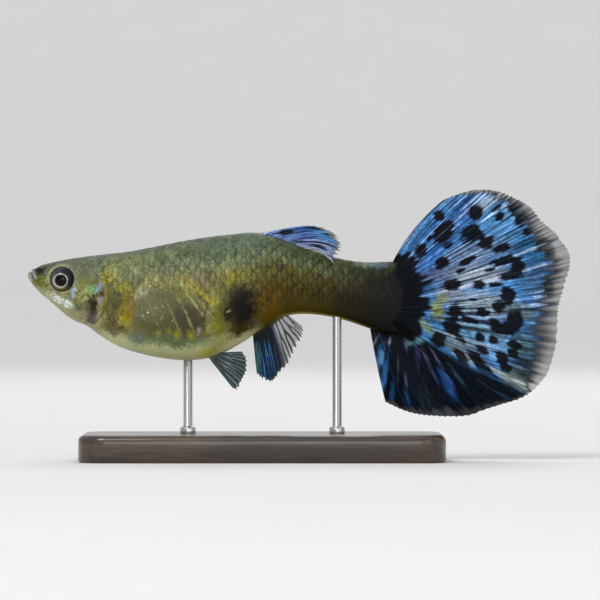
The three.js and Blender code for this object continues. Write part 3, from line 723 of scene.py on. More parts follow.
def make_skin():
    stations = skin_stations()
    angle = np.linspace(0, 2 * math.pi, SKIN["ring"], endpoint=False)
    x, turn = np.meshgrid(stations, angle, indexing="ij")
    points = body_points(x, turn)

    # Arc length down from the back, on each side.
    ring_step = np.linalg.norm(np.roll(points, -1, axis=1) - points, axis=-1)
    around = np.concatenate([np.zeros((len(stations), 1)), np.cumsum(ring_step, axis=1)[:, :-1]], axis=1)
    crown = SKIN["ring"] // 4
    from_back = np.abs(around - around[:, crown : crown + 1])
    from_back = np.minimum(from_back, ring_step.sum(axis=1, keepdims=True) - from_back)
    relief, masks = skin_relief(points, x, from_back)
    ends = smooth(x, 0.0, 0.05) * smooth(x, BODY_LENGTH, BODY_LENGTH - 0.1)
    outward = normals_of(points, closed=True)
    shaped = sink_sockets(points + outward * (relief * ends)[..., None])
    colour = skin_colours(points, masks)
    shown = {"scaled": masks["scaled"], "back_share": masks["back_share"], "silver": silver_share(points)}
    piece = closed_piece("skin", shaped, skin_look(), colour, shown)
    settle(piece, "skin", "head", "trunk", "tail_stalk", "gill_cover_left", "gill_cover_right")


# The eyes: a ball with a raised pupil, a bright ring round it and a dark iris.
PUPIL = {"radius": 0.63, "x": -0.16, "z": -0.12, "bulge": 0.09, "dip": 0.06}


def eye_look():
    look = Look("guppy_eye", Roughness=0.2, Specular_IOR_Level=0.12, Coat_Weight=0.12,
                Coat_Roughness=0.03)
    glint = look.reach(look.noise(0.00009, 2.0), 0.5, 0.78, 0, 0.3)
    shown = look.times(glint, look.mask("iris"))
    look.feed("Base Color", look.mix(shown, look.tone(), (0.2, 0.21, 0.2)))
    look.feed("Metallic", look.mask("silver"))
    return look.material


def make_eye(side, name, look):
    out = np.linspace(0, math.pi, EYE["rings"])
    around = np.linspace(0, 2 * math.pi, EYE["around"], endpoint=False)
    polar, turn = np.meshgrid(out, around, indexing="ij")
    x = np.sin(polar) * np.cos(turn) * EYE["radius"]
    z = np.sin(polar) * np.sin(turn) * EYE["radius"]
    facing = np.cos(polar) > 0
    away = np.hypot(x - PUPIL["x"], z - PUPIL["z"])
    rim = np.hypot(x, z)
    bulge = PUPIL["bulge"] * smooth(away, PUPIL["radius"] + 0.02, PUPIL["radius"] - 0.12)
    dip = PUPIL["dip"] * bell(away - PUPIL["radius"] - 0.12, 0.1)
    y = side * (EYE["y"] + np.cos(polar) * EYE["depth"] + (bulge - dip) * facing)
    points = np.stack([EYE["x"] + x, y, EYE["z"] + z], axis=-1)

    # A dark iris, paler and browner below and in front, a bright ring and a black pupil.
    toward = (z - x) / (EYE["radius"] * math.sqrt(2))
    grain = lumps(np.stack([x, z], axis=-1), 0.14, 21) - 0.5
    paint = Paint(28, 35, 44)
    below = smooth(-z - 0.35 * x + 0.35 * grain, 0.25, 1.05)
    paint.lay(0.85 * below, 112, 100, 66)
    front = smooth(-x + 0.2 * z + 0.35 * grain, 0.55, 1.2)
    paint.lay(0.7 * front, 104, 104, 88)
    paint.lay(0.6 * smooth(toward + 0.3 * grain, 0.5, 0.9), 58, 70, 84)
    paint.lay(smooth(rim, 1.14, 1.26), 54, 54, 42)
    width = lerp(0.055, 0.1, smooth(-x - z, -0.2, 0.9))
    ring = bell(away - PUPIL["radius"] - 0.1, width)
    paint.lay(ring, 190, 190, 172)
    paint.lay(smooth(away, PUPIL["radius"] + 0.03, PUPIL["radius"] - 0.03), 1, 1, 2)
    shown = {"silver": 0.6 * ring, "iris": smooth(away, PUPIL["radius"], PUPIL["radius"] + 0.1)}
    piece = closed_piece(f"eye_{name}", points, look, paint.held(), shown, turned=side < 0)
    settle(piece, "eye", f"eye_{name}")


# Fins. Each is a thin closed sheet with forking rays raised on both faces. A row gives the number of
# rays, how often they fork, the steps along a ray, the steps from ray to ray, in millimetres the
# sheet's thickness at the root, the rise of the rays and the swelling at the root, and how deep the
# edge is cut between the rays, as a share of their length.
FORM = ("rays", "forks", "rows", "per_ray", "thick", "rise", "swelling", "notch")
FINS = {
    "tail": (26, 2, 104, 16, 0.16, 0.05, 0.6, 0.016),
    "dorsal": (8, 1, 110, 16, 0.14, 0.05, 0.1, 0.11),
    "anal": (9, 1, 90, 14, 0.14, 0.05, 0.1, 0.08),
    "pelvic": (6, 1, 70, 14, 0.12, 0.05, 0.1, 0.07),
    "pectoral": (12, 1, 80, 12, 0.1, 0.035, 0.1, 0.03),
}
THIN_EDGE = 0.35  # the sheet's thickness at its edge, as a share of that at its root
SEGMENTS = 26  # how many segments each ray has


def ray_ridges(s, t, rays, forks):
    """1 on a ray and 0 between rays. Each ray forks once or twice on its way out."""
    place = t * rays
    local = place - np.floor(place) - 0.5
    first = 0.25 * smooth(s, 0.3, 0.62)
    second = 0.125 * smooth(s, 0.6, 0.92) * (forks > 1)
    width = lerp(0.14, 0.06 if forks > 1 else 0.09, smooth(s, 0.25, 0.9))
    near = np.min([np.abs(local - a * first - b * second) for a in (-1, 1) for b in (-1, 1)], axis=0)
    return bell(near, width)


def fin_sheet(at, form):
    """The grid of a fin: its points on both faces, s and t over the grid, and its rays."""
    rays, forks, thick, notch = (form[key] for key in ("rays", "forks", "thick", "notch"))
    out = np.linspace(0, 1, form["rows"] + 1)
    s, t = np.meshgrid(out, np.linspace(0, 1, rays * form["per_ray"] + 1), indexing="ij")
    sway = noise(np.stack([t * rays * 0.8, s * 1.2], axis=-1), 1.0, 33) - 0.5
    swayed = t + 0.7 * sway / rays
    at_edge = ray_ridges(np.ones_like(t), swayed[-1:] + 0 * t, rays, forks)
    ragged = noise(np.stack([t * rays * 0.7, 0 * t], axis=-1), 1.0, 31)
    frayed = noise(np.stack([t * rays * 3, 0 * t], axis=-1), 1.0, 32)
    reach = 1 - notch * ((1 - at_edge) * (0.3 + 0.5 * ragged) + 1.1 * ragged**2 + 0.4 * frayed)
    middle = at(s * lerp(1, reach, smooth(s, 0.5, 1)), t)
    normal = normals_of(middle, closed=False)
    ridge = ray_ridges(s, swayed, rays, forks)
    segments = 0.5 + 0.5 * np.cos(2 * math.pi * s * SEGMENTS + 4 * np.floor(t * rays))
    joints = 1 - 0.18 * ridge * smooth(segments, 0.75, 0.95) * smooth(s, 0.15, 0.3)
    half = lerp(thick, thick * THIN_EDGE, smooth(s, 0.1, 1)) / 2
    half = half + form["rise"] * ridge * joints * lerp(1, 0.4, smooth(s, 0.3, 1))
    half = half + form["swelling"] * smooth(s, 0.24, 0) ** 2
    sides = [middle + normal * half[..., None], middle - normal * half[..., None]]
    return sides, s, t, ridge


def sheet_faces(rows, columns):
    """Quads of a closed sheet of two faces, each (rows + 1) by (columns + 1) points."""
    count = (rows + 1) * (columns + 1)
    index = np.arange(count).reshape(rows + 1, columns + 1)
    corners = [index[:-1, :-1], index[:-1, 1:], index[1:, 1:], index[1:, :-1]]
    top = np.stack(corners, axis=-1).reshape(-1, 4)
    rim = np.concatenate([index[0, :-1], index[:-1, -1], index[-1, :0:-1], index[:0:-1, 0]])
    after = np.roll(rim, -1)
    wall = np.stack([rim, rim + count, after + count, after], axis=-1)
    return [np.concatenate([top, top[:, ::-1] + count, wall])]


def make_fin(name, kind, at, look, slot, colours):
    """at gives a fin's middle surface from s and t, both 0 to 1, which run along and across its rays.
    colours gives its colour and how opaque it is from its points, s, t and its rays."""
    form = dict(zip(FORM, FINS[kind]))
    sides, s, t, ridge = fin_sheet(at, form)
    colour, solid = colours(sides[0], s, t, ridge)
    masks = {"solid": solid, "along": s, "across": t * form["rays"]}
    masks = {mask: np.tile(values.ravel(), 2) for mask, values in masks.items()}
    tones = np.tile(colour.reshape(-1, 3), (2, 1))
    faces = sheet_faces(form["rows"], form["rays"] * form["per_ray"])
    settle(make_mesh(name, np.array(sides), faces, look, tones, masks), slot, name)


THREADS = {"to_a_ray": 13.0, "along": 7.0}  # how fine the membrane's streaks are
# The films: the name, how streaky each is and how glossy.
FILMS = [("tail_film", 0.42, 0.06), ("blue_film", 0.4, 0.08), ("clear_film", 0.15, 0.15)]


def fin_look(name, streaky, gloss):
    """A fin's membrane: fine streaks run out along its rays over the tone of each place."""
    look = Look(name, Roughness=0.46, Specular_IOR_Level=gloss)
    across = look.times(look.mask("across"), THREADS["to_a_ray"])
    along = look.times(look.mask("along"), THREADS["along"])
    place = look.node("CombineXYZ", {"X": across, "Y": along})
    threads = look.noise_at(place.outputs["Vector"], 2)
    lines = look.reach(threads, 0.36, 0.68, 1 - 1.2 * streaky, 1 + streaky)
    grain = look.reach(look.noise(0.00013, 2.0), 0.3, 0.75, 0.8, 1.2)
    strength = look.times(lines, grain)
    grey = look.node("CombineColor", dict.fromkeys(("Red", "Green", "Blue"), strength))
    look.feed("Base Color", look.mix(1.0, look.tone(), grey.outputs["Color"], "MULTIPLY"))
    look.feed("Alpha", look.mask("solid"))
    look.bump(threads, 0.00002, 0.4)
    return look.material


def ray_point(root_x, root_z, edge, s, bow=0.0):
    """Points at share s of the rays that run from the root to an edge, an array (..., 2)."""
    tip_x, tip_z = edge[..., 0], edge[..., 1]
    x = lerp(root_x, tip_x, s) - bow * s * (1 - s) * (tip_z - root_z)
    z = lerp(root_z, tip_z, s) + bow * s * (1 - s) * (tip_x - root_x)
    return x, z


def streaks(t, s, count, seed):
    """Fine streaks that run out along the rays, from -1 to 1."""
    return 2 * noise(np.stack([t * count, s * 2.2], axis=-1), 1.0, seed) - 1


# Tail fin: its root is sunk in the end of the stalk, and its rays fan over more than a quarter turn in
# all. The lower lobe is folded away from the fish's left side.
TAIL_EDGE = through([
    [0, 45.9, 10.8], [0.08, 47.7, 11.5], [0.16, 49.9, 11.9], [0.24, 52.4, 11.6], [0.31, 54.8, 10.4],
    [0.38, 56.9, 8.4], [0.45, 58.7, 6.3], [0.5, 59.8, 4.4], [0.56, 59.4, 1.3], [0.62, 58.6, -2],
    [0.67, 58.1, -5.3], [0.72, 56.9, -8.7], [0.76, 54.8, -10.9], [0.81, 51.4, -12.1],
    [0.86, 48.2, -13.2], [0.91, 45.1, -13.3], [0.96, 42.1, -12.9], [1, 39.4, -11.7],
])
TAIL_FOLD = through([
    [0, 1.2], [0.1, 0.4], [0.24, -0.9], [0.4, -0.3], [0.54, 0.7], [0.64, 0.2], [0.74, -1.7],
    [0.82, 0.9], [0.88, 2.1], [0.94, 1.3], [1, 2.5],
])
TAIL_ROOT = {"upper": 39.4, "lower": 37.4, "top_share": 0.1, "bottom_share": 0.84, "sunk": 1.5}
TAIL_BOW = (0.25, -0.05)  # how far the first ray and the rest bow, as a share of their length
TAIL_RIPPLE = {"height": 0.16, "turns": 60}


def tail_root(t):
    """The line that the rays start from, sunk a little inside the end of the stalk."""
    bend = BODY_LENGTH - STALK_ROUND
    sunk = TAIL_ROOT["sunk"]
    top, bottom = TAIL_ROOT["top_share"], TAIL_ROOT["bottom_share"]
    middle = section(np.array(bend))[0]
    share = (t - top) / (bottom - top)
    angle = math.pi * (0.5 - np.clip(share, 0, 1))
    up, down = BACK(bend) - sunk - middle, middle - sunk - BELLY(bend)
    x = bend + (STALK_ROUND - sunk) * np.cos(angle)
    z = middle + np.where(np.sin(angle) > 0, up, down) * np.sin(angle)
    before = lerp(TAIL_ROOT["upper"], bend, np.clip(t / top, 0, 1))
    after = lerp(bend, TAIL_ROOT["lower"], np.clip((t - bottom) / (1 - bottom), 0, 1))
    x = np.where(t < top, before, np.where(t > bottom, after, x))
    z = np.where(t < top, BACK(before) - sunk, np.where(t > bottom, BELLY(after) + sunk, z))
    return x, z


def tail_fin(s, t):
    x, z = ray_point(*tail_root(t), TAIL_EDGE(t), s, lerp(*TAIL_BOW, smooth(t, 0, 0.3)))
    ripple = TAIL_RIPPLE["height"] * np.sin(t * TAIL_RIPPLE["turns"])
    ripple = ripple * smooth(s, 0.3, 1) * smooth(t, 0, 0.1)
    return np.stack([x, TAIL_FOLD(t) * s**1.5 + ripple, z], axis=-1)


# Black spots of the tail in the side view, in millimetres: the centre, the half sizes along the rays
# and across them.
TAIL_SPOTS = [
    (45.2, 8.9, 0.55, 0.55), (45.7, 7.2, 1.25, 0.78), (43.2, 5.1, 0.8, 0.62), (49.3, 9.4, 0.75, 0.7),
    (48.7, 7.0, 1.0, 0.85), (50.4, 6.0, 0.8, 0.62), (46.2, 5.7, 0.5, 0.33), (52.1, 5.4, 0.95, 0.45),
    (51.9, 8.8, 0.5, 0.36), (53.5, 9.9, 0.8, 0.68), (54.3, 8.5, 0.75, 0.66), (51.5, 9.7, 0.7, 0.25),
    (56.6, 5.8, 0.65, 0.48), (57.4, 5.0, 0.5, 0.6), (45.5, 3.7, 0.72, 0.52), (48.4, 4.0, 1.1, 0.3),
    (46.8, 1.3, 0.95, 0.56), (49.6, 1.35, 0.7, 0.48), (51.4, 1.35, 0.8, 0.22), (52.2, 3.95, 1.35, 0.4),
    (53.9, 3.3, 0.6, 0.9), (53.1, 2.35, 1.2, 0.4), (52.8, 0.2, 0.72, 0.84), (51.8, -0.9, 0.68, 0.62),
    (50.0, -1.7, 0.72, 0.42), (47.0, -1.5, 0.75, 0.85), (48.5, -2.5, 0.92, 0.3), (53.5, -2.8, 0.8, 1.15),
    (52.1, -3.6, 1.25, 0.4), (46.6, -3.3, 0.85, 0.72), (49.7, -4.4, 0.5, 0.36), (51.1, -4.7, 0.5, 0.36),
    (53.5, -5.2, 0.74, 0.42), (45.1, -4.7, 0.8, 0.75), (49.9, -5.8, 0.75, 0.4), (49.3, -6.7, 1.2, 0.42),
    (50.2, -8.0, 1.35, 0.45), (52.1, -6.7, 0.7, 0.55), (53.3, -6.2, 0.6, 0.38), (52.5, -7.7, 0.65, 0.45),
    (47.6, -6.5, 1.1, 0.38), (57.3, 1.0, 0.5, 0.85), (44.2, 6.5, 0.35, 0.2), (50.9, 3.0, 0.5, 0.16),
    (47.6, 2.9, 0.6, 0.2), (51.3, -2.6, 0.5, 0.2), (48.9, -0.3, 0.5, 0.16), (54.9, 7.2, 0.4, 0.3),
    (47.5, -4.6, 0.8, 0.25), (51.2, -9.0, 1.2, 0.3),
]
# Coloured patches of the tail: the centre, the half sizes along X and Z, the tilt, the softness, the
# colour and its strength.
TAIL_PATCHES = [
    ((44.4, 5.2), (1.6, 3.4), -35, 0.6, (52, 108, 182), 0.85),
    ((42.8, 3.9), (0.7, 1.0), 0, 0.6, (98, 128, 196), 0.8),
    ((48.2, 9.6), (1.6, 1.2), 30, 0.6, (28, 72, 142), 0.8),
    ((50.4, 10.2), (1.5, 0.5), 38, 0.5, (128, 148, 168), 0.85),
    ((52.6, 7.9), (2.6, 1.9), 25, 0.6, (92, 150, 204), 0.9),
    ((55.2, 5.2), (1.9, 2.4), 0, 0.6, (44, 104, 152), 0.85),
    ((56.0, 1.9), (1.6, 1.8), 0, 0.6, (64, 94, 134), 0.85),
    ((49.2, 4.6), (3.4, 1.3), 18, 0.6, (120, 144, 178), 0.85),
    ((45.0, 2.4), (1.5, 0.8), 10, 0.6, (92, 100, 138), 0.8),
    ((49.4, 2.4), (3.2, 1.0), 4, 0.6, (150, 162, 178), 0.9),
    ((50.2, -0.9), (3.2, 1.4), -4, 0.6, (150, 168, 184), 0.92),
    ((46.6, 0.6), (1.6, 0.9), 0, 0.6, (118, 126, 138), 0.85),
    ((49.6, -3.4), (2.8, 0.8), -16, 0.6, (138, 180, 206), 0.85),
    ((51.3, -5.2), (2.0, 1.3), -30, 0.6, (116, 162, 204), 0.9),
    ((47.4, -4.4), (2.0, 0.9), -30, 0.6, (60, 116, 144), 0.85),
    ((47.5, -6.0), (2.2, 0.45), -38, 0.5, (152, 188, 204), 0.9),
    ((54.4, -1.6), (1.7, 0.9), -6, 0.6, (88, 102, 94), 0.85),
    ((54.6, -5.5), (1.2, 1.7), 0, 0.6, (78, 106, 108), 0.85),
    ((53.6, -8.6), (1.4, 1.3), -35, 0.6, (84, 98, 92), 0.9),
    ((45.1, -1.4), (0.75, 1.0), 12, 0.6, (126, 140, 78), 0.95),
    ((45.8, -0.1), (0.5, 0.65), 30, 0.6, (122, 132, 88), 0.8),
    ((43.9, -3.1), (1.25, 0.5), -40, 0.6, (118, 140, 98), 0.95),
]
# Streaks on the dark lower lobe: the centre, the half length and half width along the rays, the colour.
LOBE_STREAKS = [
    (38.6, -7.0, 1.0, 0.36, (58, 110, 168)), (39.1, -9.4, 1.9, 0.2, (56, 114, 178)),
    (38.9, -6.6, 0.6, 0.2, (96, 142, 190)), (38.1, -5.1, 0.5, 0.09, (112, 112, 104)),
    (39.8, -4.8, 0.35, 0.12, (118, 126, 138)), (41.6, -5.3, 0.5, 0.14, (80, 80, 112)),
    (42.9, -4.6, 0.35, 0.95, (88, 138, 156)), (42.9, -6.1, 0.45, 0.2, (66, 56, 104)),
    (43.9, -7.0, 0.8, 0.14, (74, 76, 104)), (45.6, -7.9, 1.6, 0.1, (88, 94, 128)),
    (46.2, -9.7, 1.1, 0.4, (40, 84, 150)), (40.1, -10.6, 0.8, 0.18, (46, 96, 158)),
    (41.7, -11.4, 0.8, 0.22, (32, 72, 120)), (40.7, -8.0, 1.0, 0.08, (72, 74, 92)),
    (41.6, -9.3, 0.6, 0.12, (66, 74, 106)), (43.8, -9.9, 0.7, 0.12, (40, 50, 80)),
    (42.9, -7.5, 0.7, 0.12, (50, 50, 84)), (44.8, -8.8, 0.9, 0.1, (58, 70, 112)),
    (47.6, -9.2, 1.0, 0.12, (52, 78, 96)), (43.3, -11.4, 0.8, 0.14, (26, 44, 70)),
]
# How much larger than their rows spots and streaks are laid on, along the rays and across them, since
# their ragged edges eat into them.
SPOT_GROWTH = (1.1, 1.12)
STREAK_GROWTH = (1.5, 1.25)
TAIL_FAN = (40.7, 0.55)  # the point that the tail's rays seem to come from
TAIL_BASE = {"x": 40.6, "half_x": 3.7, "half_z": 4.5}  # the black patch at the tail's root
LOBE_EDGE = (0.748, 0.768)  # where across the fan the folded lower lobe begins
FOLD_LIGHT = {"at": 0.744, "width": 0.0045}  # the bright line along the fold
GREY_CORNER = (61.5, 64.5)  # where x - z says that the clear corner beside the fold begins
TAIL_MARGIN = through([
    [0, 0.02], [0.1, 0.045], [0.24, 0.06], [0.31, 0.08], [0.38, 0.1], [0.5, 0.13], [0.6, 0.125],
    [0.67, 0.14], [0.72, 0.09], [0.76, 0.03], [0.85, 0.08], [1, 0.06],
])


def ray_ellipse(x, z, row, growth, wobble, soft=0.19):
    """1 in an ellipse that lies along the rays of the tail, with an edge that wobble makes ragged."""
    centre_x, centre_z, along, across = row
    dx, dz = centre_x - TAIL_FAN[0], centre_z - TAIL_FAN[1]
    length = math.hypot(dx, dz)
    out = ((x - centre_x) * dx + (z - centre_z) * dz) / length
    aside = ((x - centre_x) * dz - (z - centre_z) * dx) / length
    away = np.hypot(out / (along * growth[0]), aside / (across * growth[1]))
    return smooth(away + wobble, 1.05 + soft, 1.05 - soft)


def tail_colours(points, s, t, ridge):
    x, z = points[..., 0], points[..., 2]
    flat = points[..., [0, 2]]
    fine = streaks(t, s, 200, 41)
    broad = streaks(t, s, 46, 42)
    patchy = lumps(flat, 1.6, 43) - 0.5
    grain = lumps(flat, 0.4, 44) - 0.5

    paint = Paint(66, 122, 180)
    moved_x, moved_z = x + 0.8 * patchy + 0.3 * fine, z + 0.8 * grain
    for centre, half, tilt, soft, tint, strength in TAIL_PATCHES:
        inside = ellipse_mask(moved_x, moved_z, centre, half, tilt, soft)
        paint.lay(strength * inside, *tint)
    shimmer = lumps(flat, 0.17, 45) - 0.5
    tone = 1 + 0.7 * fine + 0.35 * broad + 0.45 * grain + 0.7 * shimmer
    paint.tone(tone, 0.25, 2.2)
    highlight = smooth(fine + 0.6 * broad + 0.5 * grain + 0.5 * shimmer, 0.45, 1.05)
    paint.lay(0.72 * highlight, 200, 214, 232)
    gaps = smooth(-fine - 0.6 * broad + 0.6 * patchy, 0.2, 0.8) * smooth(s, 0.15, 0.35)
    paint.lay(0.75 * gaps, 8, 22, 42)
    low = smooth(t, 0.66, 0.74) * smooth(broad + 0.5 * fine, 0.0, 0.5)
    paint.lay(0.75 * low, 10, 22, 38)

    # The folded lower lobe: painted shade, nearly black, for the shadow it lies in behind the upper lobe,
    # with its own blue and lilac streaks over it.
    lower = smooth(t + 0.01 * broad, *LOBE_EDGE)
    paint.lay(0.98 * lower, 7, 11, 19)
    paint.lay(0.4 * lower * smooth(streaks(t, s, 110, 46), 0.3, 0.9), 36, 58, 92)
    wobble = 0.4 * patchy + 0.6 * grain + 0.35 * fine + 0.3 * shimmer
    threads = smooth(streaks(t, s, 230, 48), -0.6, 0.3)
    for *row, tint in LOBE_STREAKS:
        inside = ray_ellipse(x, z, row, STREAK_GROWTH, 0.9 * wobble, 0.6)
        paint.lay(lower * inside * lerp(0.25, 1, threads), *tint)

    # The fold's bright edge, and the clear grey corner with pale rays beside it.
    corner = smooth(x - z, *GREY_CORNER) * smooth(t, 0.76, 0.745) * smooth(t, 0.6, 0.66)
    paint.lay(0.9 * corner, 24, 32, 32)
    pale = corner * smooth(streaks(t, s, 170, 47), 0.15, 0.7)
    paint.lay(0.75 * pale, 138, 152, 136)
    edge_light = bell(t - FOLD_LIGHT["at"], FOLD_LIGHT["width"]) * smooth(s, 0.35, 0.55)
    paint.lay(0.9 * edge_light, 168, 186, 184)

    spots = np.zeros(x.shape)
    for row in TAIL_SPOTS:
        spots = np.maximum(spots, ray_ellipse(x, z, row, SPOT_GROWTH, 0.65 * wobble))
    spots = spots * (1 - lower)
    paint.lay(0.98 * spots * np.clip(1.06 - 0.5 * smooth(fine, 0.5, 1), 0, 1), 4, 5, 9)
    from_base = np.hypot((x - TAIL_BASE["x"]) / TAIL_BASE["half_x"], z / TAIL_BASE["half_z"])
    root = smooth(from_base + 0.5 * patchy + 0.2 * broad, 1.1, 0.94)
    paint.lay(0.985 * root, 3, 4, 4)

    # The smoky margin, clearer outwards.
    inset = 1 - s + 0.05 * patchy + 0.03 * fine
    band = TAIL_MARGIN(t)
    margin = smooth(inset, band * 1.25, band * 0.7) * (1 - 0.3 * spots)
    paint.lay(0.97 * margin, 14, 20, 26)
    faint = smooth(streaks(t, s, 60, 49), -0.3, 0.6)
    paint.lay(0.22 * margin * ridge * faint, 84, 100, 110)
    clear = lerp(0.82, 0.34, smooth(inset, band, 0)) + 0.06 * ridge * faint + 0.1 * fine
    clear = lerp(clear, 0.86, 0.85 * lower)
    solid = lerp(0.98, clear, margin)
    return paint.held(), np.clip(lerp(solid, 0.72 + 0.2 * ridge, 0.8 * corner * (1 - margin)), 0, 1)


# Dorsal fin: short at its root, swept back, with its last rays drooping over the fish's left side.
DORSAL = {"front": 25.4, "back": 29.7, "sunk": 0.35, "droop": 0.9, "clear": 0.32}
DORSAL_SPOT = ((28.4, 7.1), (0.75, 0.3), 6, 0.3)
DORSAL_EDGE = through([
    [0, 30.5, 7.85], [0.15, 32.4, 7.8], [0.35, 33.8, 7.1], [0.55, 34.8, 6], [0.75, 34.9, 4.9],
    [1, 33.8, 3.3],
])


def dorsal_fin(s, t):
    root_x = lerp(DORSAL["front"], DORSAL["back"], t)
    root_z = BACK(root_x) - DORSAL["sunk"] * smooth(t, -0.2, 0.4)
    x, z = ray_point(root_x, root_z, DORSAL_EDGE(t), s, 0.1 + 0.5 * t)
    clear = half_width_at(x, z, DORSAL["clear"])
    y = np.minimum(-DORSAL["droop"] * s * t, -clear * smooth(s, 0, 0.3))
    return np.stack([x, y, z], axis=-1)


def dorsal_colours(points, s, t, ridge):
    x, z = points[..., 0], points[..., 2]
    fine = streaks(t, s, 70, 51)
    broad = streaks(t, s, 16, 53)
    grain = lumps(points[..., [0, 2]], 0.5, 52) - 0.5
    paint = Paint(48, 92, 158)
    paint.lay(0.9 * smooth(s, 0.5, 0.1), 108, 138, 192)
    paint.lay(0.85 * smooth(s, 0.5, 0.75) * smooth(t, 0.2, 0.4), 66, 132, 196)
    paint.lay(0.9 * smooth(t, 0.58, 0.82), 128, 138, 180)
    paint.tone(1 + 0.5 * fine + 0.4 * grain, 0.4, 1.9)
    # Painted highlights: pale blue laid along the raised rays, standing in for light caught on them.
    bright = smooth(ridge + 0.5 * fine, 0.5, 1.1) * smooth(broad, -0.5, 0.3)
    paint.lay(0.68 * bright, 164, 188, 228)
    dark = smooth(-broad - 0.5 * fine + 0.4 * grain, 0.0, 0.4) * smooth(s, 0.02, 0.2)
    paint.lay(0.93 * dark, 6, 11, 22)
    paint.lay(0.95 * bell(t - 0.03, 0.04), 200, 218, 240)
    paint.lay(0.9 * smooth(t, 0.945, 0.975), 158, 162, 172)
    paint.lay(0.95 * ellipse_mask(x + 0.5 * grain, z, *DORSAL_SPOT), 5, 8, 16)
    margin = smooth(s + 0.12 * grain + 0.04 * fine, 0.86, 0.96)
    margin = margin * smooth(t, 0.12, 0.3) * smooth(t, 0.95, 0.85)
    paint.lay(0.85 * margin, 22, 28, 34)
    return paint.held(), lerp(0.97, 0.42, margin)


# Anal fin: its root climbs from the vent to the stalk, and its rays fan down and back.
ANAL = {"front": 24.7, "back": 28.4, "sunk": 0.35, "wave": 0.45}
ANAL_EDGE = through([
    [0, 25.2, -8.7], [0.12, 25.8, -9.4], [0.27, 26.6, -9.6], [0.42, 27.5, -8.9], [0.56, 28.6, -7.7],
    [0.72, 29.4, -6.2], [0.86, 30.2, -4.7], [1, 30.4, -3.4],
])


def anal_fin(s, t):
    root_x = lerp(ANAL["front"], ANAL["back"], t)
    x, z = ray_point(root_x, BELLY(root_x) + ANAL["sunk"], ANAL_EDGE(t), s)
    return np.stack([x, ANAL["wave"] * s * np.sin(5 * t), z], axis=-1)


def anal_colours(points, s, t, ridge):
    fine = streaks(t, s, 60, 61)
    grain = lumps(points[..., [0, 2]], 0.5, 62) - 0.5
    paint = Paint(22, 30, 36)
    front = smooth(t, 0.5, 0.36) * smooth(s + 0.2 * grain, 0.16, 0.42)
    paint.lay(front * smooth(ridge + 0.3 * grain, 0.25, 0.7), 44, 100, 158)
    paint.lay(0.85 * front * smooth(t, 0.17, 0.06), 58, 98, 100)
    paint.lay(0.4 * smooth(t, 0.36, 0.5) * smooth(t, 0.66, 0.56) * ridge, 60, 68, 116)
    rear = smooth(t, 0.46, 0.62)
    paint.lay(0.7 * rear * smooth(ridge + 0.3 * fine, 0.5, 0.95), 96, 104, 106)
    paint.tone(1 + 0.55 * fine, 0.4, 1.7)
    paint.lay(0.8 * smooth(s, 0.14, 0.05), 62, 54, 10)
    between = smooth(1 - ridge, 0.3, 0.8)
    solid = 0.97 - 0.68 * rear * between * smooth(s, 0.04, 0.16)
    return paint.held(), np.clip(solid - 0.2 * smooth(s, 0.9, 1), 0.12, 1)


# Pelvic fins: a pair under the belly, swept back and a little apart.
PELVIC = {"front": 19.7, "back": 20.8, "root_side": 0.7, "tip_side": 1.9, "sunk": 0.3}
PELVIC_EDGE = through([
    [0, 22.7, -10.2], [0.25, 23.3, -10.3], [0.45, 23.6, -9.2], [0.65, 24.2, -7.9],
    [0.85, 24.1, -6.7], [1, 23.7, -6],
])


def pelvic_fin(side):
    def at(s, t):
        root_x = lerp(PELVIC["front"], PELVIC["back"], t)
        x, z = ray_point(root_x, BELLY(root_x) + PELVIC["sunk"], PELVIC_EDGE(t), s)
        return np.stack([x, side * lerp(PELVIC["root_side"], PELVIC["tip_side"], s) + 0 * x, z], axis=-1)

    return at


def pelvic_colours(points, s, t, ridge):
    paint = Paint(40, 54, 58)
    fine = streaks(t, s, 40, 72)
    paint.lay(0.75 * smooth(ridge + 0.5 * fine, 0.5, 1.1), 138, 152, 152)
    paint.lay(0.8 * smooth(t, 0.22, 0.05), 48, 88, 108)
    paint.lay(0.7 * smooth(s, 0.15, 0.05), 128, 130, 84)
    return paint.held(), lerp(0.58, 0.92, smooth(ridge, 0.2, 0.8))


# Pectoral fins: rooted low behind the gill covers, held back along the flanks, and almost clear.
PECTORAL = {"x": 9.9, "top": 0.7, "bottom": -0.9, "flare": 0.9, "sunk": 0.6, "clear": 0.36}
PECTORAL_EDGE = through([
    [0, 15.9, 0.9], [0.25, 16.8, 0], [0.5, 16.7, -1.3], [0.75, 15.6, -2.6], [1, 13.6, -3.1],
])


def pectoral_fin(side):
    def at(s, t):
        root_x = PECTORAL["x"] - PECTORAL["sunk"] * smooth(s, 0.12, 0)
        root_z = lerp(PECTORAL["top"], PECTORAL["bottom"], t)
        x, z = ray_point(root_x, root_z, PECTORAL_EDGE(t), s)
        away = half_width_at(x, z, PECTORAL["clear"]) + PECTORAL["flare"] * s * s
        sunk = lerp(-PECTORAL["sunk"], 0, smooth(s, 0, 0.1))
        return np.stack([x, side * (away + sunk), z], axis=-1)

    return at


def pectoral_colours(points, s, t, ridge):
    paint = Paint(104, 108, 84)
    paint.lay(0.8 * smooth(ridge, 0.3, 0.85), 176, 180, 150)
    paint.lay(0.8 * smooth(s, 0.14, 0.04), 112, 108, 60)
    solid = lerp(0.03, 0.17, smooth(ridge, 0.3, 0.85)) + 0.4 * smooth(s, 0.12, 0.02)
    return paint.held(), solid * smooth(s, 1.04, 0.9)


# The stand: a slab of dark wood with rounded corners and edges, and two steel rods.
BASE = {"corner": 3.0, "bevel": 0.7, "foot": 0.25, "corner_steps": 13, "bevel_steps": 8}
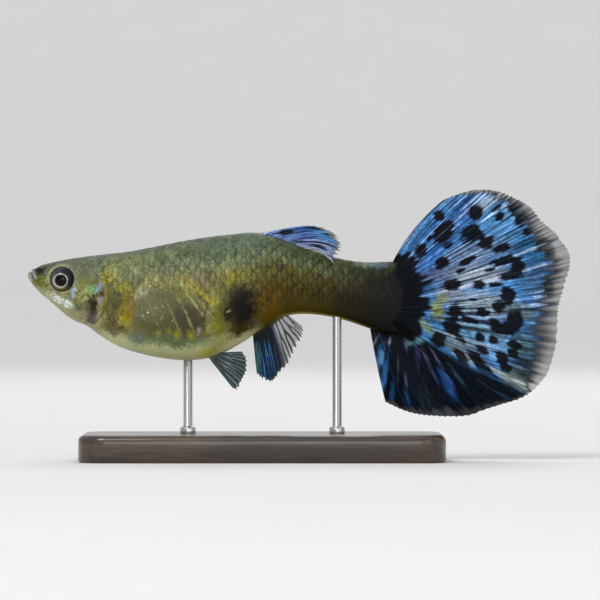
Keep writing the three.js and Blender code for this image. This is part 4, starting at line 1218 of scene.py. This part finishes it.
# The rods' outline, from its foot to its tip: how far out it is in radii, and how high over the base's
# top in millimetres or how deep under the tip in radii.
ROD_COLLAR = [(0, -0.5), (1.7, -0.5), (1.7, 0.55), (1.581, 0.68), (1.08, 0.74), (1, 0.8)]
ROD_TIP = [(1, 0.3), (0.9, 0.12), (0, 0)]
ROD_SUNK = 0.55  # how far a rod reaches up into the fish past the solid rod's end
ROD_AROUND = 40


def wood_look():
    look = Look("stand_walnut", Roughness=0.35, Coat_Weight=0.6, Coat_Roughness=0.12)
    grain = look.noise(0.0011, 6.0, (9, 1, 1))
    pores = look.reach(look.noise(0.00025, 3.0, (14, 1, 1)), 0.42, 0.62)
    base = look.mix(look.reach(grain, 0.3, 0.7), (0.022, 0.013, 0.008), (0.072, 0.04, 0.022))
    look.feed("Base Color", look.mix(look.times(pores, 0.6), base, (0.014, 0.009, 0.006)))
    look.feed("Roughness", look.reach(grain, 0.3, 0.7, 0.42, 0.3))
    look.bump(pores, 0.00002, 0.35)
    return look.material


def steel_look():
    look = Look("stand_steel", Metallic=1.0, Roughness=0.28)
    brushed = look.noise(0.0002, 4.0, (1, 1, 0.08))
    look.feed("Base Color", look.mix(brushed, (0.46, 0.46, 0.47), (0.66, 0.66, 0.67)))
    look.feed("Roughness", look.reach(brushed, 0.3, 0.7, 0.2, 0.38))
    return look.material


def make_base():
    low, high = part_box("stand_base")
    corner, bevel, foot = (BASE[key] * MM for key in ("corner", "bevel", "foot"))
    centre = (low + high) / 2
    half_x, half_y = (high.x - low.x) / 2, (high.y - low.y) / 2
    outline = []
    for sx, sy, start in ((1, 1, 0), (-1, 1, 90), (-1, -1, 180), (1, -1, 270)):
        for step in np.linspace(0, 90, BASE["corner_steps"]):
            turn = math.radians(start + step)
            middle = (centre.x + sx * (half_x - corner), centre.y + sy * (half_y - corner))
            outline.append((*middle, math.cos(turn), math.sin(turn)))
    profile = [(foot, low.z), (0.0, low.z + foot)]
    for turn in np.linspace(math.pi / 2, 0, BASE["bevel_steps"]):
        profile.append((bevel * (1 - math.sin(turn)), high.z - bevel * (1 - math.cos(turn))))
    rings = [
        [(x + nx * (corner - inset), y + ny * (corner - inset), z) for x, y, nx, ny in outline]
        for inset, z in profile
    ]
    points = from_row(rings)
    index = np.arange(points[..., 0].size).reshape(points.shape[:2])
    ends = [index[0, ::-1][None], index[-1][None]]
    piece = make_mesh("base", points, [ring_quads(index), *ends], wood_look())
    for polygon in piece.data.polygons:
        polygon.use_smooth = len(polygon.vertices) == 4
    settle(piece, "stand_wood", "stand_base")


def make_rod(node, look):
    """A rod from inside the base up into the belly, with a small collar where it leaves the base."""
    low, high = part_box(node)
    top_of_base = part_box("stand_base")[1].z
    x, radius = (low.x + high.x) / 2, (high.x - low.x) / 2
    top = high.z + ROD_SUNK * MM
    profile = [(share * radius, top_of_base + up * MM) for share, up in ROD_COLLAR]
    profile += [(share * radius, top - down * radius) for share, down in ROD_TIP]
    around = np.linspace(0, 2 * math.pi, ROD_AROUND, endpoint=False)
    rings = [[(x + r * math.cos(a), r * math.sin(a), z) for a in around] for r, z in profile]
    settle(closed_piece(node.replace("stand_", ""), from_row(rings), look), "stand_steel", node)


# The room: a pale floor that sweeps up behind, soft lights and the camera.
SWEEP = {"half": 2.5, "front": -3.0, "start": 0.85, "radius": 0.6, "top": 2.4}


def make_backdrop():
    curve = [(SWEEP["front"], 0.0), (SWEEP["start"], 0.0)]
    for turn in np.linspace(0, math.pi / 2, 25)[1:]:
        rise = SWEEP["radius"] * (1 - math.cos(turn))
        curve.append((SWEEP["start"] + SWEEP["radius"] * math.sin(turn), rise))
    curve.append((SWEEP["start"] + SWEEP["radius"], SWEEP["top"]))
    points = [(side * SWEEP["half"], y, z) for y, z in curve for side in (-1, 1)]
    left = 2 * np.arange(len(curve) - 1)
    faces = np.stack([left, left + 1, left + 3, left + 2], axis=-1)
    look = Look("backdrop_paper", Roughness=0.9)
    look.feed("Base Color", look.mix(look.noise(0.02, 3.0), (0.76, 0.765, 0.77), (0.8, 0.8, 0.8)))
    floor = make_mesh("backdrop", from_row(points), [faces], look.material)


# Round lights: the place and size in metres, the power in watts and the tint.
LIGHTS = {
    "key": ((-0.22, -0.5, 0.55), 0.3, 2.3, (1.0, 0.99, 0.97)),
    "front": ((0.05, -0.7, 0.0), 0.35, 1.05, (1, 1, 1)),
    "fill": ((0.45, -0.55, 0.15), 0.4, 0.5, (1, 1, 1)),
    "back": ((0.1, 0.5, 0.5), 0.35, 0.9, (1, 1, 1)),
    "wall": ((0.0, 0.5, 1.3), 1.0, 4.5, (1, 1, 1)),
}
WALL_TARGET = (0.0, SWEEP["start"] + SWEEP["radius"], 0.3)
WORLD = {"Color": (0.98, 0.98, 0.97, 1), "Strength": 0.56}


def make_lights(centre):
    """All of the lights look at the fish, except the one that lights the wall behind it."""
    for name, (place, size, power, tint) in LIGHTS.items():
        data = bpy.data.lights.new(name, "AREA")
        data.shape, data.size, data.energy, data.color = "DISK", size, power, tint
        target = Vector(WALL_TARGET) if name == "wall" else centre
        lamp = add_object(name, data)
        lamp.location = place
        lamp.rotation_euler = (target - Vector(place)).to_track_quat("-Z", "Y").to_euler()
    world = bpy.data.worlds.new("studio")
    world.use_nodes = True
    for socket, value in WORLD.items():
        world.node_tree.nodes["Background"].inputs[socket].default_value = value
    bpy.context.scene.world = world
    bpy.context.scene.view_settings.view_transform = "Standard"


CAMERA = {"lens": 300.0, "sensor": 36.0, "nearest": 0.01, "farthest": 20}
IMAGE = 600  # the photograph's side, in pixels


def make_camera():
    """Level, square to the fish's left side, framed so that the snout and tail lie as in the photo."""
    data = bpy.data.cameras.new("camera")
    data.lens, data.sensor_width = CAMERA["lens"], CAMERA["sensor"]
    across = IMAGE * PIXEL * MM
    distance = across * data.lens / data.sensor_width
    middle_x = (IMAGE / 2 - SNOUT_PIXEL[0]) * PIXEL * MM + ORIGIN.x
    middle_z = (SNOUT_PIXEL[1] - IMAGE / 2) * PIXEL * MM + ORIGIN.z
    camera = add_object("camera", data)
    camera.location = (middle_x, -distance, middle_z)
    camera.rotation_euler = (math.pi / 2, 0, 0)
    data.clip_start, data.clip_end = CAMERA["nearest"], CAMERA["farthest"]
    bpy.context.scene.camera = camera
    return Vector((middle_x, 0, middle_z))


def main():
    centre = make_camera()
    make_backdrop()
    make_lights(centre)
    make_skin()
    eye = eye_look()
    tail, blue, clear = (fin_look(*film) for film in FILMS)
    make_fin("tail_fin", "tail", tail_fin, tail, "tail_membrane", tail_colours)
    make_fin("dorsal_fin", "dorsal", dorsal_fin, blue, "blue_membrane", dorsal_colours)
    make_fin("anal_fin", "anal", anal_fin, blue, "blue_membrane", anal_colours)
    pairs = {"pelvic": (pelvic_fin, pelvic_colours), "pectoral": (pectoral_fin, pectoral_colours)}
    for side, name in ((-1, "left"), (1, "right")):
        make_eye(side, name, eye)
        for kind, (shape, colours) in pairs.items():
            make_fin(f"{kind}_fin_{name}", kind, shape(side), clear, "clear_membrane", colours)
    make_base()
    steel = steel_look()
    for node in ("stand_rod_front", "stand_rod_back"):
        make_rod(node, steel)


main()
